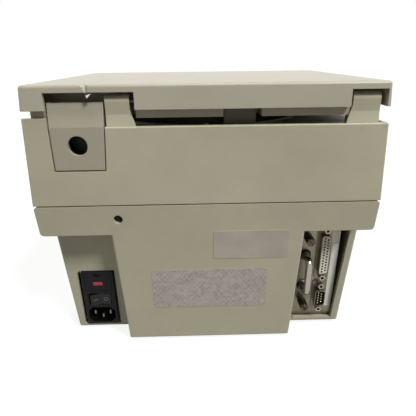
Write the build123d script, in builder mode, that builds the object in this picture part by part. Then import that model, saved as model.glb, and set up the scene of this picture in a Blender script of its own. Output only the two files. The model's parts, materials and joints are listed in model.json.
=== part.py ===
"""Bench sedimentation rate analyzer: a lidded centrifuge unit with a pull-out interface module.

Millimetres. +X is to the right of someone who faces the front, +Y runs to the rear and +Z up.
The origin is on the table, under the middle of the casing.

Places on or behind the rear wall are written as insets, measured forwards from the rear seam.
Heights of things in the lower casing are written above a datum just over its underside.
"""
import os
from math import atan2, copysign, cos, degrees, hypot, radians, sin, tan

from build123d import *

os.makedirs("parts", exist_ok=True)

# Clearances
running_clearance = 0.05
sliding_clearance = 0.3
panel_gap = 0.9
seat_gap = 0.3

# Casing, outside
case_width = 264.0
case_depth = 325.0
case_corner = 1.5
lower_height = 131.3
datum_rise = 2.0
upper_height = 58.2
ridge_narrowing = 2.8
ridge_radius = 1.0
wall = 3.5
seam_gap = 1.0
lip_inset = 1.9
lip_height = 3.0

# Lower casing: a full-width band, a narrower body and a rear block between two bays
band_height = 24.9
band_narrowing = 0.8
band_corner_radius = 4.0
body_side_inset = 3.9
body_side_draft = 5.8
body_rear_inset = 20.8
body_rear_draft = 2.0
body_front_inset = 4.0
body_front_draft = 8.0
body_corner = 2.0
block_side_gap = 2.1
block_side_draft = 4.4
block_rear_draft = 4.4
block_corner = 1.6
foot_edge_radius = 1.5

# Bottom plate, feet and casing screws
bottom_plate_thickness = 1.5
foot_height = 3.0
foot_radius = 8.0
foot_bevel = 1.0
foot_side_inset = 25.0
foot_rear_inset = 42.0
foot_front_inset = 32.0
boss_radius = 5.0
rib_thickness = 2.5
boss_side_inset = 14.0
boss_rear_inset = 68.0
boss_front_inset = 24.0
screw_radius = 2.0
upper_boss_hold = 12.0
screw_head_radius = 3.5
screw_head_height = 2.5
rear_screw_side_inset = 62.8
rear_screw_height = 117.7
rear_screw_depth = 4.0
vent_slot_length = 36.0
vent_slot_width = 3.0
vent_pitch = 8.0
vent_count = 7

# Deck and sloping front panel
deck_drop = 4.0
rim_width = 3.5
slope_top_inset = 206.0
front_lip = 12.0
overlay_width = 216.0
overlay_end_margin = 15.55
overlay_thickness = 0.8
overlay_corner = 6.0
display_width = 84.0
display_height = 30.0
display_x = -36.0
display_drop = 26.0
window_lap = 2.0
overlay_gap = 0.4
window_thickness = 1.5

# Hinge line, towers and hinge cover
hinge_inset = 10.0
hinge_rise = 16.5
pin_radius = 2.0
pin_head_radius = 3.6
pin_head_length = 1.6
tower_radius = 5.0
tower_foot_step = 0.6
tower_foot_spread = 7.0
left_tower_insets = (78.4, 61.6)
right_tower_insets = (10.5, 30.0)
web_width = 3.6
web_height = 12.0
web_thickness = 2.1
cheek_width = 20.8
cheek_rise = 6.3
cheek_thickness = 4.0
cover_bottom_insets = (57.5, 21.6)
cover_crease_insets = (59.7, 21.4)
cover_top_insets = (60.3, 21.0)
cover_drop = 30.7
cover_rise = 16.5
cover_lean = 3.8
cover_thickness = 3.0
cover_ledge = 2.5
cover_edge_radius = 0.5
access_hole_side_inset = 40.0
access_hole_drop = 12.9
access_hole_radius = 7.0
pocket_depth = 14.0
pocket_wall = 2.5

# Lid
lid_gap = 11.5
lid_height = 16.8
lid_side_inset = 3.7
lid_narrowing = 1.2
lid_rear_inset = 1.8
lid_front_inset = 201.0
lid_corner = 2.2
lid_wall = 3.0
lid_top_thickness = 3.2
lid_edge_radius = 2.0
notch_height = 11.7
left_notch_insets = (82.4, 20.9)
right_notch_insets = (7.0, 32.3)

# Lid pan: the closed inner tray whose rear edge shows as a rail under the skirt
pan_drop = 5.9
pan_wall = 2.5
pan_ear_wall = 4.0
pan_side_inset = 7.2
pan_front_inset = 196.0
pan_rear_inset = 24.0
rail_inset = 6.0
rail_gap = 1.3
corner_rail_inset = 7.6
corner_rail_insets = (19.8, 8.6)
corner_rail_lap = 2.5
switch_notch = (-38.7, -11.6)

# Interlock switch in the rail gap
switch_x = (-36.0, -12.6)
switch_inset = 16.5
switch_depth = 4.5
switch_bevel = 0.6
switch_top_gap = 2.0

# Chamber, rotor and drive
rotor_inset = 108.0
chamber_radius = 80.0
chamber_wall = 1.5
chamber_depth = 55.0
flange_width = 6.0
deck_hole_clearance = 1.0
gasket_width = 4.0
gasket_inset = 1.0
shaft_hole_radius = 18.0
rotor_radius = 73.0
rotor_thickness = 3.0
rotor_floor_gap = 18.0
tube_count = 8
tube_slot_width = 9.0
pad_thickness = 3.0
beam_radius = 66.0
beam_hole_radius = 2.0
cradle_height = 13.0
cradle_inner_radius = 24.0
hub_radius = 15.0
hub_drop = 12.0
spigot_radius = 6.0
nut_radius = 11.0
nut_height = 9.0
nut_grip_count = 10
nut_grip_radius = 2.0
shaft_radius = 4.0
motor_radius = 31.0
motor_length = 62.0
motor_boss_radius = 11.0
motor_plate_width = 120.0
motor_edge_radius = 3.0
motor_bore_depth = 5.0
motor_plate_thickness = 3.0
post_radius = 5.0
post_spacing = 104.0
grommet_radius = 7.0
grommet_height = 7.0
source_size = (22.0, 11.0, 9.0)
sensor_size = (14.0, 16.0, 8.0)
sensor_rise = 8.0

# Lid lock
lock_side_inset = 37.0
strike_inset = 184.0
strike_width = 16.0
strike_thickness = 2.5
strike_length = 32.0
strike_foot_depth = 12.0
bolt_radius = 3.0
bolt_length = 26.0
bolt_stand = 0.5
bolt_clearance = 0.1
bolt_nose = 0.6
strike_hole_radius = 4.5
solenoid_width = 26.0
solenoid_height = 20.0
solenoid_length = 34.0
deck_slot_ahead = 8.0
deck_slot_gap = 2.0

# Mains inlet in the bay on the +X side
inlet_side_inset = 23.3
inlet_width = 29.2
inlet_height = 57.2
inlet_bottom = 1.6
inlet_corner = 2.6
bezel_thickness = 5.4
inlet_body_inset = 1.2
inlet_body_depth = 30.0
inlet_opening_insets = (39.1, 5.8)
inlet_opening_bottom = 1.0
inlet_opening_top = 59.4
inlet_opening_chamfer = 3.0
bracket_thickness = 1.5
bracket_insets = (42.8, 6.8)
bracket_height = 66.0
bracket_flange = 20.0
socket_width = 24.2
socket_height = 16.2
socket_depth = 17.0
socket_rise = 2.6
socket_chamfer = 4.0
socket_corner = 2.0
contact_pitch = 14.0
contact_offset = 4.0
contact_drop = 1.5
contact_size = (2.0, 4.0)
contact_length = 14.5
rocker_width = 20.0
rocker_height = 11.6
rocker_rise = 23.4
rocker_well_depth = 10.0
rocker_face_half = 8.9
rocker_side_half = 9.4
rocker_side_depth = 2.0
rocker_keel_half = 4.0
rocker_keel_depth = 7.5
rocker_pivot_depth = 5.0
rocker_valley = 0.4
rocker_tilt = 7.0
rocker_stand = 1.2
rocker_pin_radius = 1.2
drawer_width = 23.0
drawer_height = 17.0
drawer_rise = 38.8
drawer_front = 2.4
drawer_body_inset = 1.5
drawer_length = 27.0
drawer_wall = 1.2
drawer_notch_radius = 3.0
red_window_width = 8.2
red_window_height = 3.4
red_window_rise = 5.5
fuse_radius = 2.5
fuse_length = 20.0

# Interface module in the bay on the -X side
module_opening_bottom = 2.0
module_opening_top = 99.0
module_rim = 6.6
module_opening_gap = 0.8
panel_side_inset = 7.0
panel_width = 37.1
panel_bottom = 2.4
panel_top = 98.0
panel_inset = 27.2
panel_thickness = 1.5
frame_thickness = 1.5
frame_strip = 12.8
frame_margin = 2.6
frame_height = 104.0
frame_flange = 12.0
connector_inset = 13.0
parallel_height = 70.3
serial_height = 25.2
parallel_screw_pitch = 47.0
serial_screw_pitch = 25.0
parallel_shell = (39.2, 8.4)
serial_shell = (17.8, 9.2)
shell_angle = 10.0
shell_corner = 2.2
shell_wall = 0.6
shell_proud = 6.0
serial_recess = 4.8
pin_recess = 0.8
hole_depth = 5.0
flange_height = 12.4
flange_extra = 6.2
parallel_row_count = 13
serial_row_count = 5
connector_flange = 1.0
connector_tail = 9.0
contact_spacing = 2.76
row_spacing = 2.84
contact_hole_radius = 0.55
serial_contact_radius = 0.5
jackscrew_flats = 4.8
jackscrew_length = 5.5
jackscrew_bore = 1.4
grip_inset = 8.3
grip_upper = 68.2
grip_lower = 36.0
grip_radius = 3.0
grip_stand = 17.5
grip_bend = 6.0
grip_collar_radius = 4.2
grip_collar_length = 2.5
captive_inset = 8.1
captive_heights = (20.9, 87.4)
captive_radius = 3.7
captive_length = 12.0
captive_neck_radius = 2.6
captive_neck_length = 3.0
captive_gap = 0.2
captive_thread_radius = 1.9
captive_thread_length = 5.0
captive_slot_width = 1.0
captive_slot_depth = 1.8
captive_slot_angle = 42.0
strip_width = 5.6
strip_inset = 2.9
strip_bottom = 11.8
strip_top = 78.9
strip_tilt = 0.5
label_thickness = 0.2
card_thickness = 1.6
card_inset = 17.4
card_length = 96.0
card_heights = (8.8, 94.4)
socket_overlap = 4.0
card_socket_size = (10.0, 10.0)
guide_width = 8.0
guide_groove = 3.0
guide_height = 12.0
guide_length = 104.0

# Labels on the rear block
upper_label_inset = 11.7
upper_label_width = 60.5
upper_label_heights = (80.7, 106.0)
rating_label = (-48.0, 47.4, 32.4, 70.6)
rating_corner = 2.5

# Boards and power supply
board_thickness = 1.6
chip_pitch = 26.0
chip_size = 16.0
chip_height = 2.4
main_board_width = 190.0
main_board_end_margin = 21.55
main_board_gap = 16.0
board_post_radius = 3.0
display_board_margin = 6.0
display_depth = 8.0
supply_x = (-66.0, 70.0)
supply_y_insets = (176.0, 262.0)
supply_stand = 6.0
stand_radius = 3.0
stand_margin = 6.0
capacitor_radius = 9.0
capacitor_height = 28.0
capacitor_pitch = 26.0
transformer_size = (54.0, 46.0, 40.0)
transformer_shift = 32.0
winding_margin = 6.0


def left_span(insets):
    """X limits of a piece on the +X side, from two insets off the casing's side."""
    return tuple(case_width / 2 - inset for inset in insets)


def right_span(insets):
    """X limits of a piece on the -X side, from two insets off the casing's side."""
    return tuple(inset - case_width / 2 for inset in insets)


# Places across the casing
body_top_width = case_width - 2 * body_side_inset
body_foot_width = body_top_width - 2 * body_side_draft
body_side = body_foot_width / 2
lid_width = case_width - 2 * lid_side_inset
left_tower = left_span(left_tower_insets)
right_tower = right_span(right_tower_insets)
left_notch = left_span(left_notch_insets)
right_notch = right_span(right_notch_insets)
rail_x = (right_tower[1] + rail_gap, left_notch[0])
cover_bottom = left_span(cover_bottom_insets)
cover_crease = left_span(cover_crease_insets)
cover_top = left_span(cover_top_insets)
corner_rail = left_span(corner_rail_insets)
cheek_x = case_width / 2 - cheek_width
access_hole_x = case_width / 2 - access_hole_side_inset
lock_x = case_width / 2 - lock_side_inset
rear_screw_x = case_width / 2 - rear_screw_side_inset
inlet_x = body_side - inlet_side_inset
inlet_opening = tuple(body_side - inset for inset in inlet_opening_insets)
bracket_x = tuple(body_side - inset for inset in bracket_insets)
panel_x = (panel_side_inset - body_side, panel_side_inset + panel_width - body_side)
module_opening_inner_x = panel_x[1] + module_opening_gap
connector_x = panel_x[0] + connector_inset
strip_x = panel_x[0] + strip_inset
grip_x = panel_x[1] - grip_inset
captive_x = panel_x[1] - captive_inset
card_x = panel_x[1] - card_inset
block_top_width = -2 * (panel_x[1] + block_side_gap)
block_foot_width = block_top_width - 2 * block_side_draft
upper_label_x = upper_label_inset - block_top_width / 2
upper_label = (upper_label_x, upper_label_x + upper_label_width, *upper_label_heights)

# Places along the casing and up it
rear = case_depth / 2
front = -case_depth / 2
ground = foot_height
datum = ground + datum_rise
seam = foot_height + lower_height
ridge = seam + upper_height
band_bottom = seam - band_height
deck_top = ridge - deck_drop
deck_under = deck_top - wall
hinge_y = rear - hinge_inset
hinge_z = ridge + hinge_rise
skirt_bottom = ridge + lid_gap
lid_top = skirt_bottom + lid_height
lid_under = lid_top - lid_top_thickness
pan_bottom = skirt_bottom - pan_drop
rotor_y = rear - rotor_inset
chamber_floor = deck_top - chamber_depth
rotor_plate_bottom = chamber_floor + chamber_wall + rotor_floor_gap
cradle_bottom = rotor_plate_bottom + rotor_thickness
bottom_top = ground + bottom_plate_thickness
motor_plate_top = chamber_floor - grommet_height
bracket_inset = body_rear_inset + body_rear_draft + wall + seat_gap
bezel_inset = bracket_inset - bezel_thickness
source_y = rotor_y - beam_radius
slope_top_y = rear - slope_top_inset
slope_foot_y = front + ridge_narrowing * front_lip / upper_height
slope_foot_z = seam + front_lip
slope_angle = degrees(atan2(ridge - slope_foot_z, slope_top_y - slope_foot_y))
slope_middle = ((slope_top_y + slope_foot_y) / 2, (ridge + slope_foot_z) / 2)
slope_length = hypot(slope_top_y - slope_foot_y, ridge - slope_foot_z)
overlay_length = slope_length - 2 * overlay_end_margin
main_board_length = slope_length - 2 * main_board_end_margin
display_y = overlay_length / 2 - display_drop


def rear_plane(inset):
    """Upright plane at an inset from the rear seam; an extrusion from it runs forwards."""
    return Plane.XZ.offset(inset - rear)


def slope_plane(depth=0.0):
    """Plane of the sloping front panel, moved down into it by a depth; its local y runs uphill."""
    tilt = radians(slope_angle)
    origin = (0, slope_middle[0] + depth * sin(tilt), slope_middle[1] - depth * cos(tilt))
    return Plane(origin=origin, x_dir=(1, 0, 0), z_dir=(0, -sin(tilt), cos(tilt)))


def wall_inset(height):
    """Inset of the rear wall's outer face at a height above the table."""
    if height >= seam:
        return ridge_narrowing * (height - seam) / upper_height
    if height >= band_bottom:
        return band_narrowing * (seam - height) / band_height
    fall = (band_bottom - height) / (band_bottom - ground)
    return band_narrowing + block_rear_draft * fall


def bay_inset(height):
    """Inset of the bay wall's outer face at a height above the table."""
    return body_rear_inset + body_rear_draft * (band_bottom - height) / (band_bottom - ground)


def block(x, y, z, mode=Mode.ADD):
    """Straight block between pairs of limits."""
    with Locations(((x[0] + x[1]) / 2, (y[0] + y[1]) / 2, (z[0] + z[1]) / 2)):
        Box(x[1] - x[0], y[1] - y[0], z[1] - z[0], mode=mode)


def outline(width, y, radius, height):
    """Rounded rectangle in plan, centred on X, between two y limits."""
    with BuildSketch(Plane.XY.offset(height)) as plan:
        with Locations((0, (y[0] + y[1]) / 2)):
            RectangleRounded(width, y[1] - y[0], radius)
    return plan.sketch


def drafted(lower, upper, mode=Mode.ADD):
    """Straight-sided solid between two outlines."""
    loft([lower, upper], ruled=True, mode=mode)


def round_bar(centre, axis, radius, length, mode=Mode.ADD):
    """Cylinder that starts at a point and runs along X, Y or Z by a signed length."""
    normal = {"x": (1, 0, 0), "y": (0, 1, 0), "z": (0, 0, 1)}[axis]
    with BuildSketch(Plane(origin=centre, z_dir=normal)) as end:
        Circle(radius)
    extrude(end.sketch, amount=length, mode=mode)


def save(builder, name):
    """Label a finished piece and write its file."""
    builder.part.label = name
    export_step(builder.part, f"parts/{name}.step")


# Outlines of the casing at its key heights

def band_outline(height, inset):
    """Plan of the full-width band, drawn in by an inset."""
    narrowing = band_narrowing * (seam - height) / band_height
    limits = (front + narrowing + inset, rear - narrowing - inset)
    return outline(case_width - 2 * (narrowing + inset), limits, case_corner - inset / 4, height)


def body_outline(height, inset):
    """Plan of the body below the band, without the rear block."""
    fall = (band_bottom - height) / (band_bottom - ground)
    width = body_top_width + (body_foot_width - body_top_width) * fall
    limits = (front + body_front_inset + body_front_draft * fall + inset,
              rear - body_rear_inset - body_rear_draft * fall - inset)
    return outline(width - 2 * inset, limits, body_corner - inset / 4, height)


def block_outline(height, inset):
    """Plan of the rear block, reaching forwards into the body."""
    fall = (band_bottom - height) / (band_bottom - ground)
    width = block_top_width + (block_foot_width - block_top_width) * fall
    limits = (rear - 2 * body_rear_inset, rear - band_narrowing - block_rear_draft * fall - inset)
    return outline(width - 2 * inset, limits, block_corner, height)


def upper_outline(height, inset):
    """Plan of the upper casing, drawn in by an inset."""
    narrowing = ridge_narrowing * (height - seam) / upper_height
    limits = (front + narrowing + inset, rear - narrowing - inset)
    return outline(case_width - 2 * (narrowing + inset), limits, case_corner - inset / 4, height)


def boss_places():
    """Places of the three long casing screws, in plan; the module's bay has no room for one."""
    x = body_foot_width / 2 - boss_side_inset
    return [(x, rear - boss_rear_inset), (x, front + boss_front_inset),
            (-x, front + boss_front_inset)]


# Lower casing

with BuildPart() as base_shell:
    drafted(band_outline(band_bottom, 0), band_outline(seam - seam_gap / 2, 0))
    # Rounded lower edges along the two sides only, so the rear face runs on into the block
    with BuildSketch(Plane.XZ.offset(-case_depth)) as band_section:
        band_foot = case_width / 2 - band_narrowing
        with BuildLine():
            Polyline((-band_foot, band_bottom), (band_foot, band_bottom), (case_width / 2, seam),
                     (-case_width / 2, seam), close=True)
        make_face()
        fillet(band_section.vertices().group_by(Axis.Z)[0], band_corner_radius)
    extrude(amount=2 * case_depth, mode=Mode.INTERSECT)
    drafted(body_outline(ground, 0), body_outline(band_bottom, 0))
    drafted(block_outline(ground, 0), block_outline(band_bottom, 0))
    foot_edges = base_shell.edges().group_by(Axis.Z)[0]
    fillet(foot_edges, foot_edge_radius)
    drafted(body_outline(ground, wall), body_outline(band_bottom + wall, wall), Mode.SUBTRACT)
    drafted(block_outline(ground, wall), block_outline(band_bottom + wall, wall), Mode.SUBTRACT)
    drafted(band_outline(band_bottom + wall, wall), band_outline(seam, wall), Mode.SUBTRACT)
    # Lip that the upper casing drops over
    drafted(upper_outline(seam - seam_gap, lip_inset), upper_outline(seam + lip_height, lip_inset))
    drafted(upper_outline(seam - 2 * seam_gap, wall), upper_outline(seam + 2 * lip_height, wall),
            Mode.SUBTRACT)
    # Opening of the mains inlet, with one cut corner
    with BuildSketch(rear_plane(body_rear_inset - wall)) as inlet_cut:
        with BuildLine():
            Polyline((inlet_opening[0], datum + inlet_opening_bottom),
                     (inlet_opening[1], datum + inlet_opening_bottom),
                     (inlet_opening[1], datum + inlet_opening_top - inlet_opening_chamfer),
                     (inlet_opening[1] - inlet_opening_chamfer, datum + inlet_opening_top),
                     (inlet_opening[0], datum + inlet_opening_top), close=True)
        make_face()
    extrude(amount=3 * wall + body_rear_draft, mode=Mode.SUBTRACT)
    # Opening of the interface module, with a rim of even width along the slanted side
    with BuildSketch(rear_plane(body_rear_inset - wall)) as module_cut:
        rim_low = -body_foot_width / 2 + module_rim
        rim_high = -body_top_width / 2 + module_rim
        with BuildLine():
            Polyline((module_opening_inner_x, datum + module_opening_bottom),
                     (rim_low, datum + module_opening_bottom),
                     (rim_high, datum + module_opening_top),
                     (module_opening_inner_x, datum + module_opening_top), close=True)
        make_face()
    extrude(amount=3 * wall + body_rear_draft, mode=Mode.SUBTRACT)
    # Recess of the rear screw and its boss
    round_bar((rear_screw_x, rear - wall, datum + rear_screw_height), "y",
              screw_head_radius + wall / 2, -2 * rear_screw_depth)
    round_bar((rear_screw_x, rear, datum + rear_screw_height), "y",
              screw_head_radius, -rear_screw_depth - screw_head_height, Mode.SUBTRACT)
    # Long bosses for the casing screws, each with a rib to the side wall
    for x, y in boss_places():
        boss_bottom = bottom_top + seat_gap
        round_bar((x, y, boss_bottom), "z", boss_radius, seam - boss_bottom)
        rib = sorted((x, copysign(body_foot_width / 2 - wall / 2, x)))
        block(rib, (y - rib_thickness / 2, y + rib_thickness / 2), (boss_bottom, seam))
        round_bar((x, y, ground), "z", screw_radius + running_clearance, 2 * lower_height,
                  Mode.SUBTRACT)
save(base_shell, "base_shell")

# Bottom plate

with BuildPart() as bottom_plate:
    drafted(body_outline(ground, wall + sliding_clearance),
            body_outline(bottom_top, wall + sliding_clearance))
    drafted(block_outline(ground, wall + sliding_clearance),
            block_outline(bottom_top, wall + sliding_clearance))
    for x, y in boss_places():
        round_bar((x, y, 0), "z", screw_radius + running_clearance, 2 * bottom_top, Mode.SUBTRACT)
    with Locations((0, slope_top_y, ground)):
        with GridLocations(vent_pitch, 2 * vent_slot_length, vent_count, 1):
            Box(vent_slot_width, vent_slot_length, 2 * wall, mode=Mode.SUBTRACT)
save(bottom_plate, "bottom_plate")

# Rubber feet, moulded with a plug that would sit in the plate

foot_places = [(side * (body_foot_width / 2 - foot_side_inset), y) for side in (-1, 1)
               for y in (rear - foot_rear_inset, front + foot_front_inset)]
with BuildPart() as rubber_feet:
    for x, y in foot_places:
        round_bar((x, y, 0), "z", foot_radius, foot_height)
    fillet(rubber_feet.edges().group_by(Axis.Z)[0], foot_bevel)
save(rubber_feet, "rubber_feet")

# Casing screws: three long ones from below and the one in the rear recess

with BuildPart() as case_screws:
    for x, y in boss_places():
        head_bottom = ground - screw_head_height
        round_bar((x, y, head_bottom), "z", screw_head_radius, screw_head_height)
        round_bar((x, y, ground), "z", screw_radius, lower_height + upper_boss_hold)
    rear_screw = (rear_screw_x, rear - rear_screw_depth, datum + rear_screw_height)
    round_bar(rear_screw, "y", screw_head_radius - sliding_clearance, -screw_head_height)
    with BuildSketch(rear_plane(rear_screw_depth)) as driver_slot:
        with Locations((rear_screw_x, datum + rear_screw_height)):
            Rectangle(2 * screw_head_radius, captive_slot_width, rotation=captive_slot_angle)
    extrude(driver_slot.sketch, amount=screw_head_height / 2, mode=Mode.SUBTRACT)
save(case_screws, "case_screws")

# Upper casing


def slope_cutter(depth):
    """Everything above the slope and in front of the deck, lowered by a depth."""
    with BuildPart() as cutter:
        with BuildSketch(Plane.YZ.offset(-case_width)) as side:
            tilt = radians(slope_angle)
            low = (slope_foot_y - wall, slope_foot_z - wall * tan(tilt) - depth / cos(tilt))
            high = (slope_top_y + 2 * wall, ridge + 2 * wall * tan(tilt) - depth / cos(tilt))
            with BuildLine():
                Polyline(low, high, (high[0], 2 * lid_top), (front - wall, 2 * lid_top),
                         (front - wall, low[1]), close=True)
            make_face()
        extrude(amount=2 * case_width)
    return cutter.part


def slope_inner_height(y):
    """Height of the sloping panel's inner face at a place along Y."""
    tilt = radians(slope_angle)
    return slope_foot_z + (y - slope_foot_y) * tan(tilt) - wall / cos(tilt)


def tower_profile():
    """Side view of a hinge tower: a leaning rear face, a round top about the hinge line."""
    foot_rear = rear - ridge_narrowing - tower_foot_step
    foot_front = hinge_y - tower_foot_spread
    with BuildSketch(Plane.YZ) as side:
        with BuildLine():
            Polyline((foot_rear, deck_top - wall / 2), (foot_rear, ridge),
                     (hinge_y + tower_radius, hinge_z - hinge_rise / 2),
                     (hinge_y + tower_radius, hinge_z), (hinge_y - tower_radius, hinge_z),
                     (foot_front, deck_top - wall / 2), close=True)
        make_face()
        with Locations((hinge_y, hinge_z)):
            Circle(tower_radius)
    return side.sketch


def tower_web(x, reach):
    """Slanted web beside a tower's foot, flush with its rear face and behind the lid's rail."""
    with BuildPart() as web:
        with BuildSketch(rear_plane(0)):
            with BuildLine():
                Polyline((x, deck_top), (x + reach, deck_top), (x + reach, ridge),
                         (x, ridge + web_height), close=True)
            make_face()
        extrude(amount=ridge_narrowing + tower_foot_step + web_thickness)
        extrude(tower_profile().moved(Location((x - web_width, 0, 0))), amount=2 * web_width,
                mode=Mode.INTERSECT)
    return web.part


def cover_outline(gap):
    """Rear view of the hinge cover, grown by a gap at its sides and foot."""
    with BuildSketch(rear_plane(-wall)) as face:
        with BuildLine():
            Polyline((cover_bottom[0] - gap, ridge - cover_drop - gap),
                     (cover_bottom[1] + gap, ridge - cover_drop - gap),
                     (cover_crease[1] + gap, ridge), (cover_top[1] + gap, ridge + cover_rise),
                     (cover_top[0] - gap, ridge + cover_rise), (cover_crease[0] - gap, ridge),
                     close=True)
        make_face()
    return face.sketch


def cover_blank(gap):
    """The bent plate of the hinge cover, or with a gap the seat that it lies in."""
    foot_z = ridge - cover_drop - gap
    top_z = ridge + cover_rise
    foot_y = rear - wall_inset(foot_z)
    bend_y = rear - ridge_narrowing
    top_y = bend_y - cover_lean
    proud = wall if gap else 0
    back = cover_thickness
    with BuildPart() as blank:
        with BuildSketch(Plane.YZ) as side:
            with BuildLine():
                Polyline((foot_y + proud, foot_z), (bend_y + proud, ridge),
                         (top_y + proud, top_z), (top_y - back, top_z), (bend_y - back, ridge),
                         (foot_y - back, foot_z), close=True)
            make_face()
        extrude(amount=case_width / 2)
        extrude(cover_outline(gap), amount=rear, mode=Mode.INTERSECT)
    return blank.part


def cover_face_edge(edge):
    """True for an edge of the cover's outer face, away from the bend."""
    middle = edge.center()
    if middle.Z > ridge:
        face_y = rear - ridge_narrowing - cover_lean * (middle.Z - ridge) / cover_rise
    else:
        face_y = rear - wall_inset(middle.Z)
    level = abs(middle.Z - ridge) < 0.01 and abs(edge.tangent_at(0).X) > 0.9
    return abs(middle.Y - face_y) < 0.05 and not level


cover_seat = cover_blank(panel_gap)
upper_high = ridge + cheek_rise
slope_above = slope_cutter(0)
slope_inside = slope_cutter(wall)
with BuildPart() as upper_hollow:
    drafted(upper_outline(seam, wall), upper_outline(deck_under, wall))
    add(slope_inside, mode=Mode.SUBTRACT)

with BuildPart() as upper_shell:
    drafted(upper_outline(seam + seam_gap / 2, 0), upper_outline(upper_high, 0))
    # Only the cheek beside the hinge cover stays above the ridge
    block((-case_width, cheek_x), (front, rear), (ridge, 2 * lid_top), Mode.SUBTRACT)
    block((0, case_width), (front, rear - ridge_narrowing - cheek_thickness),
          (ridge, 2 * lid_top), Mode.SUBTRACT)
    add(slope_above, mode=Mode.SUBTRACT)
    add(upper_hollow.part, mode=Mode.SUBTRACT)
    # Deck sunk inside a narrow rim
    deck_width = case_width - 2 * (ridge_narrowing + rim_width)
    deck_y = (slope_top_y + rim_width, rear - ridge_narrowing - rim_width)
    block((-deck_width / 2, deck_width / 2), deck_y, (deck_top, ridge + wall), Mode.SUBTRACT)
    rim_edges = upper_shell.edges().filter_by_position(Axis.Z, ridge - 0.01, ridge + 0.01)
    fillet(rim_edges.sort_by(Axis.Y)[-1], ridge_radius)
    # Rebate for the lip of the lower casing
    rebate_inset = lip_inset - sliding_clearance
    rebate_top = seam + lip_height + sliding_clearance
    drafted(upper_outline(seam - wall, rebate_inset), upper_outline(rebate_top, rebate_inset),
            Mode.SUBTRACT)
    # Walls and floor of the pocket behind the hinge cover
    pocket_x = (cover_crease[0] + cover_ledge, cover_bottom[1] - cover_ledge)
    pocket_y = (rear - ridge_narrowing - pocket_depth - wall, rear - ridge_narrowing - wall / 2)
    pocket_z = (ridge - cover_drop + cover_ledge, deck_under + wall / 2)
    block((pocket_x[0] - pocket_wall, pocket_x[1] + pocket_wall),
          (pocket_y[0] - pocket_wall, pocket_y[1]), (pocket_z[0] - pocket_wall, pocket_z[1]))
    # Hinge towers, each with a web at its inner foot
    for tower, inner, way in ((left_tower, 0, -1), (right_tower, 1, 1)):
        extrude(tower_profile().moved(Location((tower[0], 0, 0))), amount=tower[1] - tower[0])
        add(tower_web(tower[inner], way * web_width))
    # The pocket, its open rear and the seat of the cover
    block(pocket_x, pocket_y, (pocket_z[0], 2 * lid_top), Mode.SUBTRACT)
    block(pocket_x, (pocket_y[1] - wall, rear + wall), (pocket_z[0], 2 * lid_top), Mode.SUBTRACT)
    block((left_tower[1], cheek_x), (pocket_y[0], rear + wall), (ridge, 2 * lid_top),
          Mode.SUBTRACT)
    add(cover_seat, mode=Mode.SUBTRACT)
    # Holes of the hinge pins and their sunk heads
    for tower, outer, way in ((left_tower, 1, -1), (right_tower, 0, 1)):
        round_bar((tower[outer], hinge_y, hinge_z), "x", pin_radius,
                  way * (tower[1] - tower[0]), Mode.SUBTRACT)
        round_bar((tower[outer], hinge_y, hinge_z), "x", pin_head_radius, way * pin_head_length,
                  Mode.SUBTRACT)
    # Mouth of the chamber and the slot of the lid strike
    mouth_radius = chamber_radius + chamber_wall + deck_hole_clearance
    round_bar((0, rotor_y, deck_under - wall), "z", mouth_radius, 3 * wall, Mode.SUBTRACT)
    slot_half = strike_width / 2 + deck_slot_gap
    slot_y = (rear - strike_inset - strike_thickness - deck_slot_ahead,
              rear - strike_inset + deck_slot_gap)
    block((lock_x - slot_half, lock_x + slot_half), slot_y, (deck_under - wall, ridge),
          Mode.SUBTRACT)
    # Sunk seat of the keypad overlay and the opening of the display window
    with BuildSketch(slope_plane()) as overlay_seat:
        RectangleRounded(overlay_width + 2 * overlay_gap, overlay_length + 2 * overlay_gap,
                         overlay_corner + overlay_gap)
    extrude(amount=-overlay_thickness, mode=Mode.SUBTRACT)
    with BuildSketch(slope_plane()) as display_cut:
        with Locations((display_x, display_y)):
            Rectangle(display_width, display_height)
    extrude(amount=-2 * wall, mode=Mode.SUBTRACT)
    # Posts of the main board, and the upper ends of the casing bosses
    with BuildSketch(slope_plane(wall)) as board_posts:
        with GridLocations(main_board_width - 4 * board_post_radius,
                           main_board_length - 4 * board_post_radius, 2, 2):
            Circle(board_post_radius)
    extrude(amount=-(main_board_gap - wall))
    for x, y in boss_places():
        boss_top = deck_under if y > 0 else slope_inner_height(y - boss_radius) + wall / 2
        round_bar((x, y, seam), "z", boss_radius, boss_top - seam)
        round_bar((x, y, seam), "z", screw_radius, upper_boss_hold, Mode.SUBTRACT)
save(upper_shell, "upper_shell")

# Hinge cover: a bent plate that leans forwards above the ridge

with BuildPart() as hinge_cover:
    add(cover_blank(0))
    face_edges = hinge_cover.edges().filter_by(cover_face_edge)
    round_bar((access_hole_x, rear + wall, ridge - access_hole_drop), "y", access_hole_radius,
              -3 * wall, Mode.SUBTRACT)
    fillet(face_edges, cover_edge_radius)
save(hinge_cover, "hinge_cover")

# Hinge pins, headed at the outer end, with the tip turning in the lid pan's ear

pin_ends = {"hinge_pin_left": (left_tower[1], -1, rail_x[1] - pan_ear_wall - panel_gap),
            "hinge_pin_right": (right_tower[0], 1, rail_x[0] + pan_ear_wall + panel_gap)}
for name, (outer, way, tip) in pin_ends.items():
    with BuildPart() as hinge_pin:
        round_bar((outer, hinge_y, hinge_z), "x", pin_radius, tip - outer)
        round_bar((outer, hinge_y, hinge_z), "x", pin_head_radius, way * pin_head_length)
    save(hinge_pin, name)

# Interlock switch that stands in the gap of the lid pan's rail

with BuildPart() as interlock_switch:
    switch_y = (rear - switch_inset - switch_depth, rear - switch_inset)
    block(switch_x, switch_y, (deck_top, lid_under - switch_top_gap))
    chamfer(interlock_switch.edges().group_by(Axis.Z)[-1], switch_bevel)
save(interlock_switch, "interlock_switch")

# Display behind the slope: window, display module, main board and keypad overlay

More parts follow.
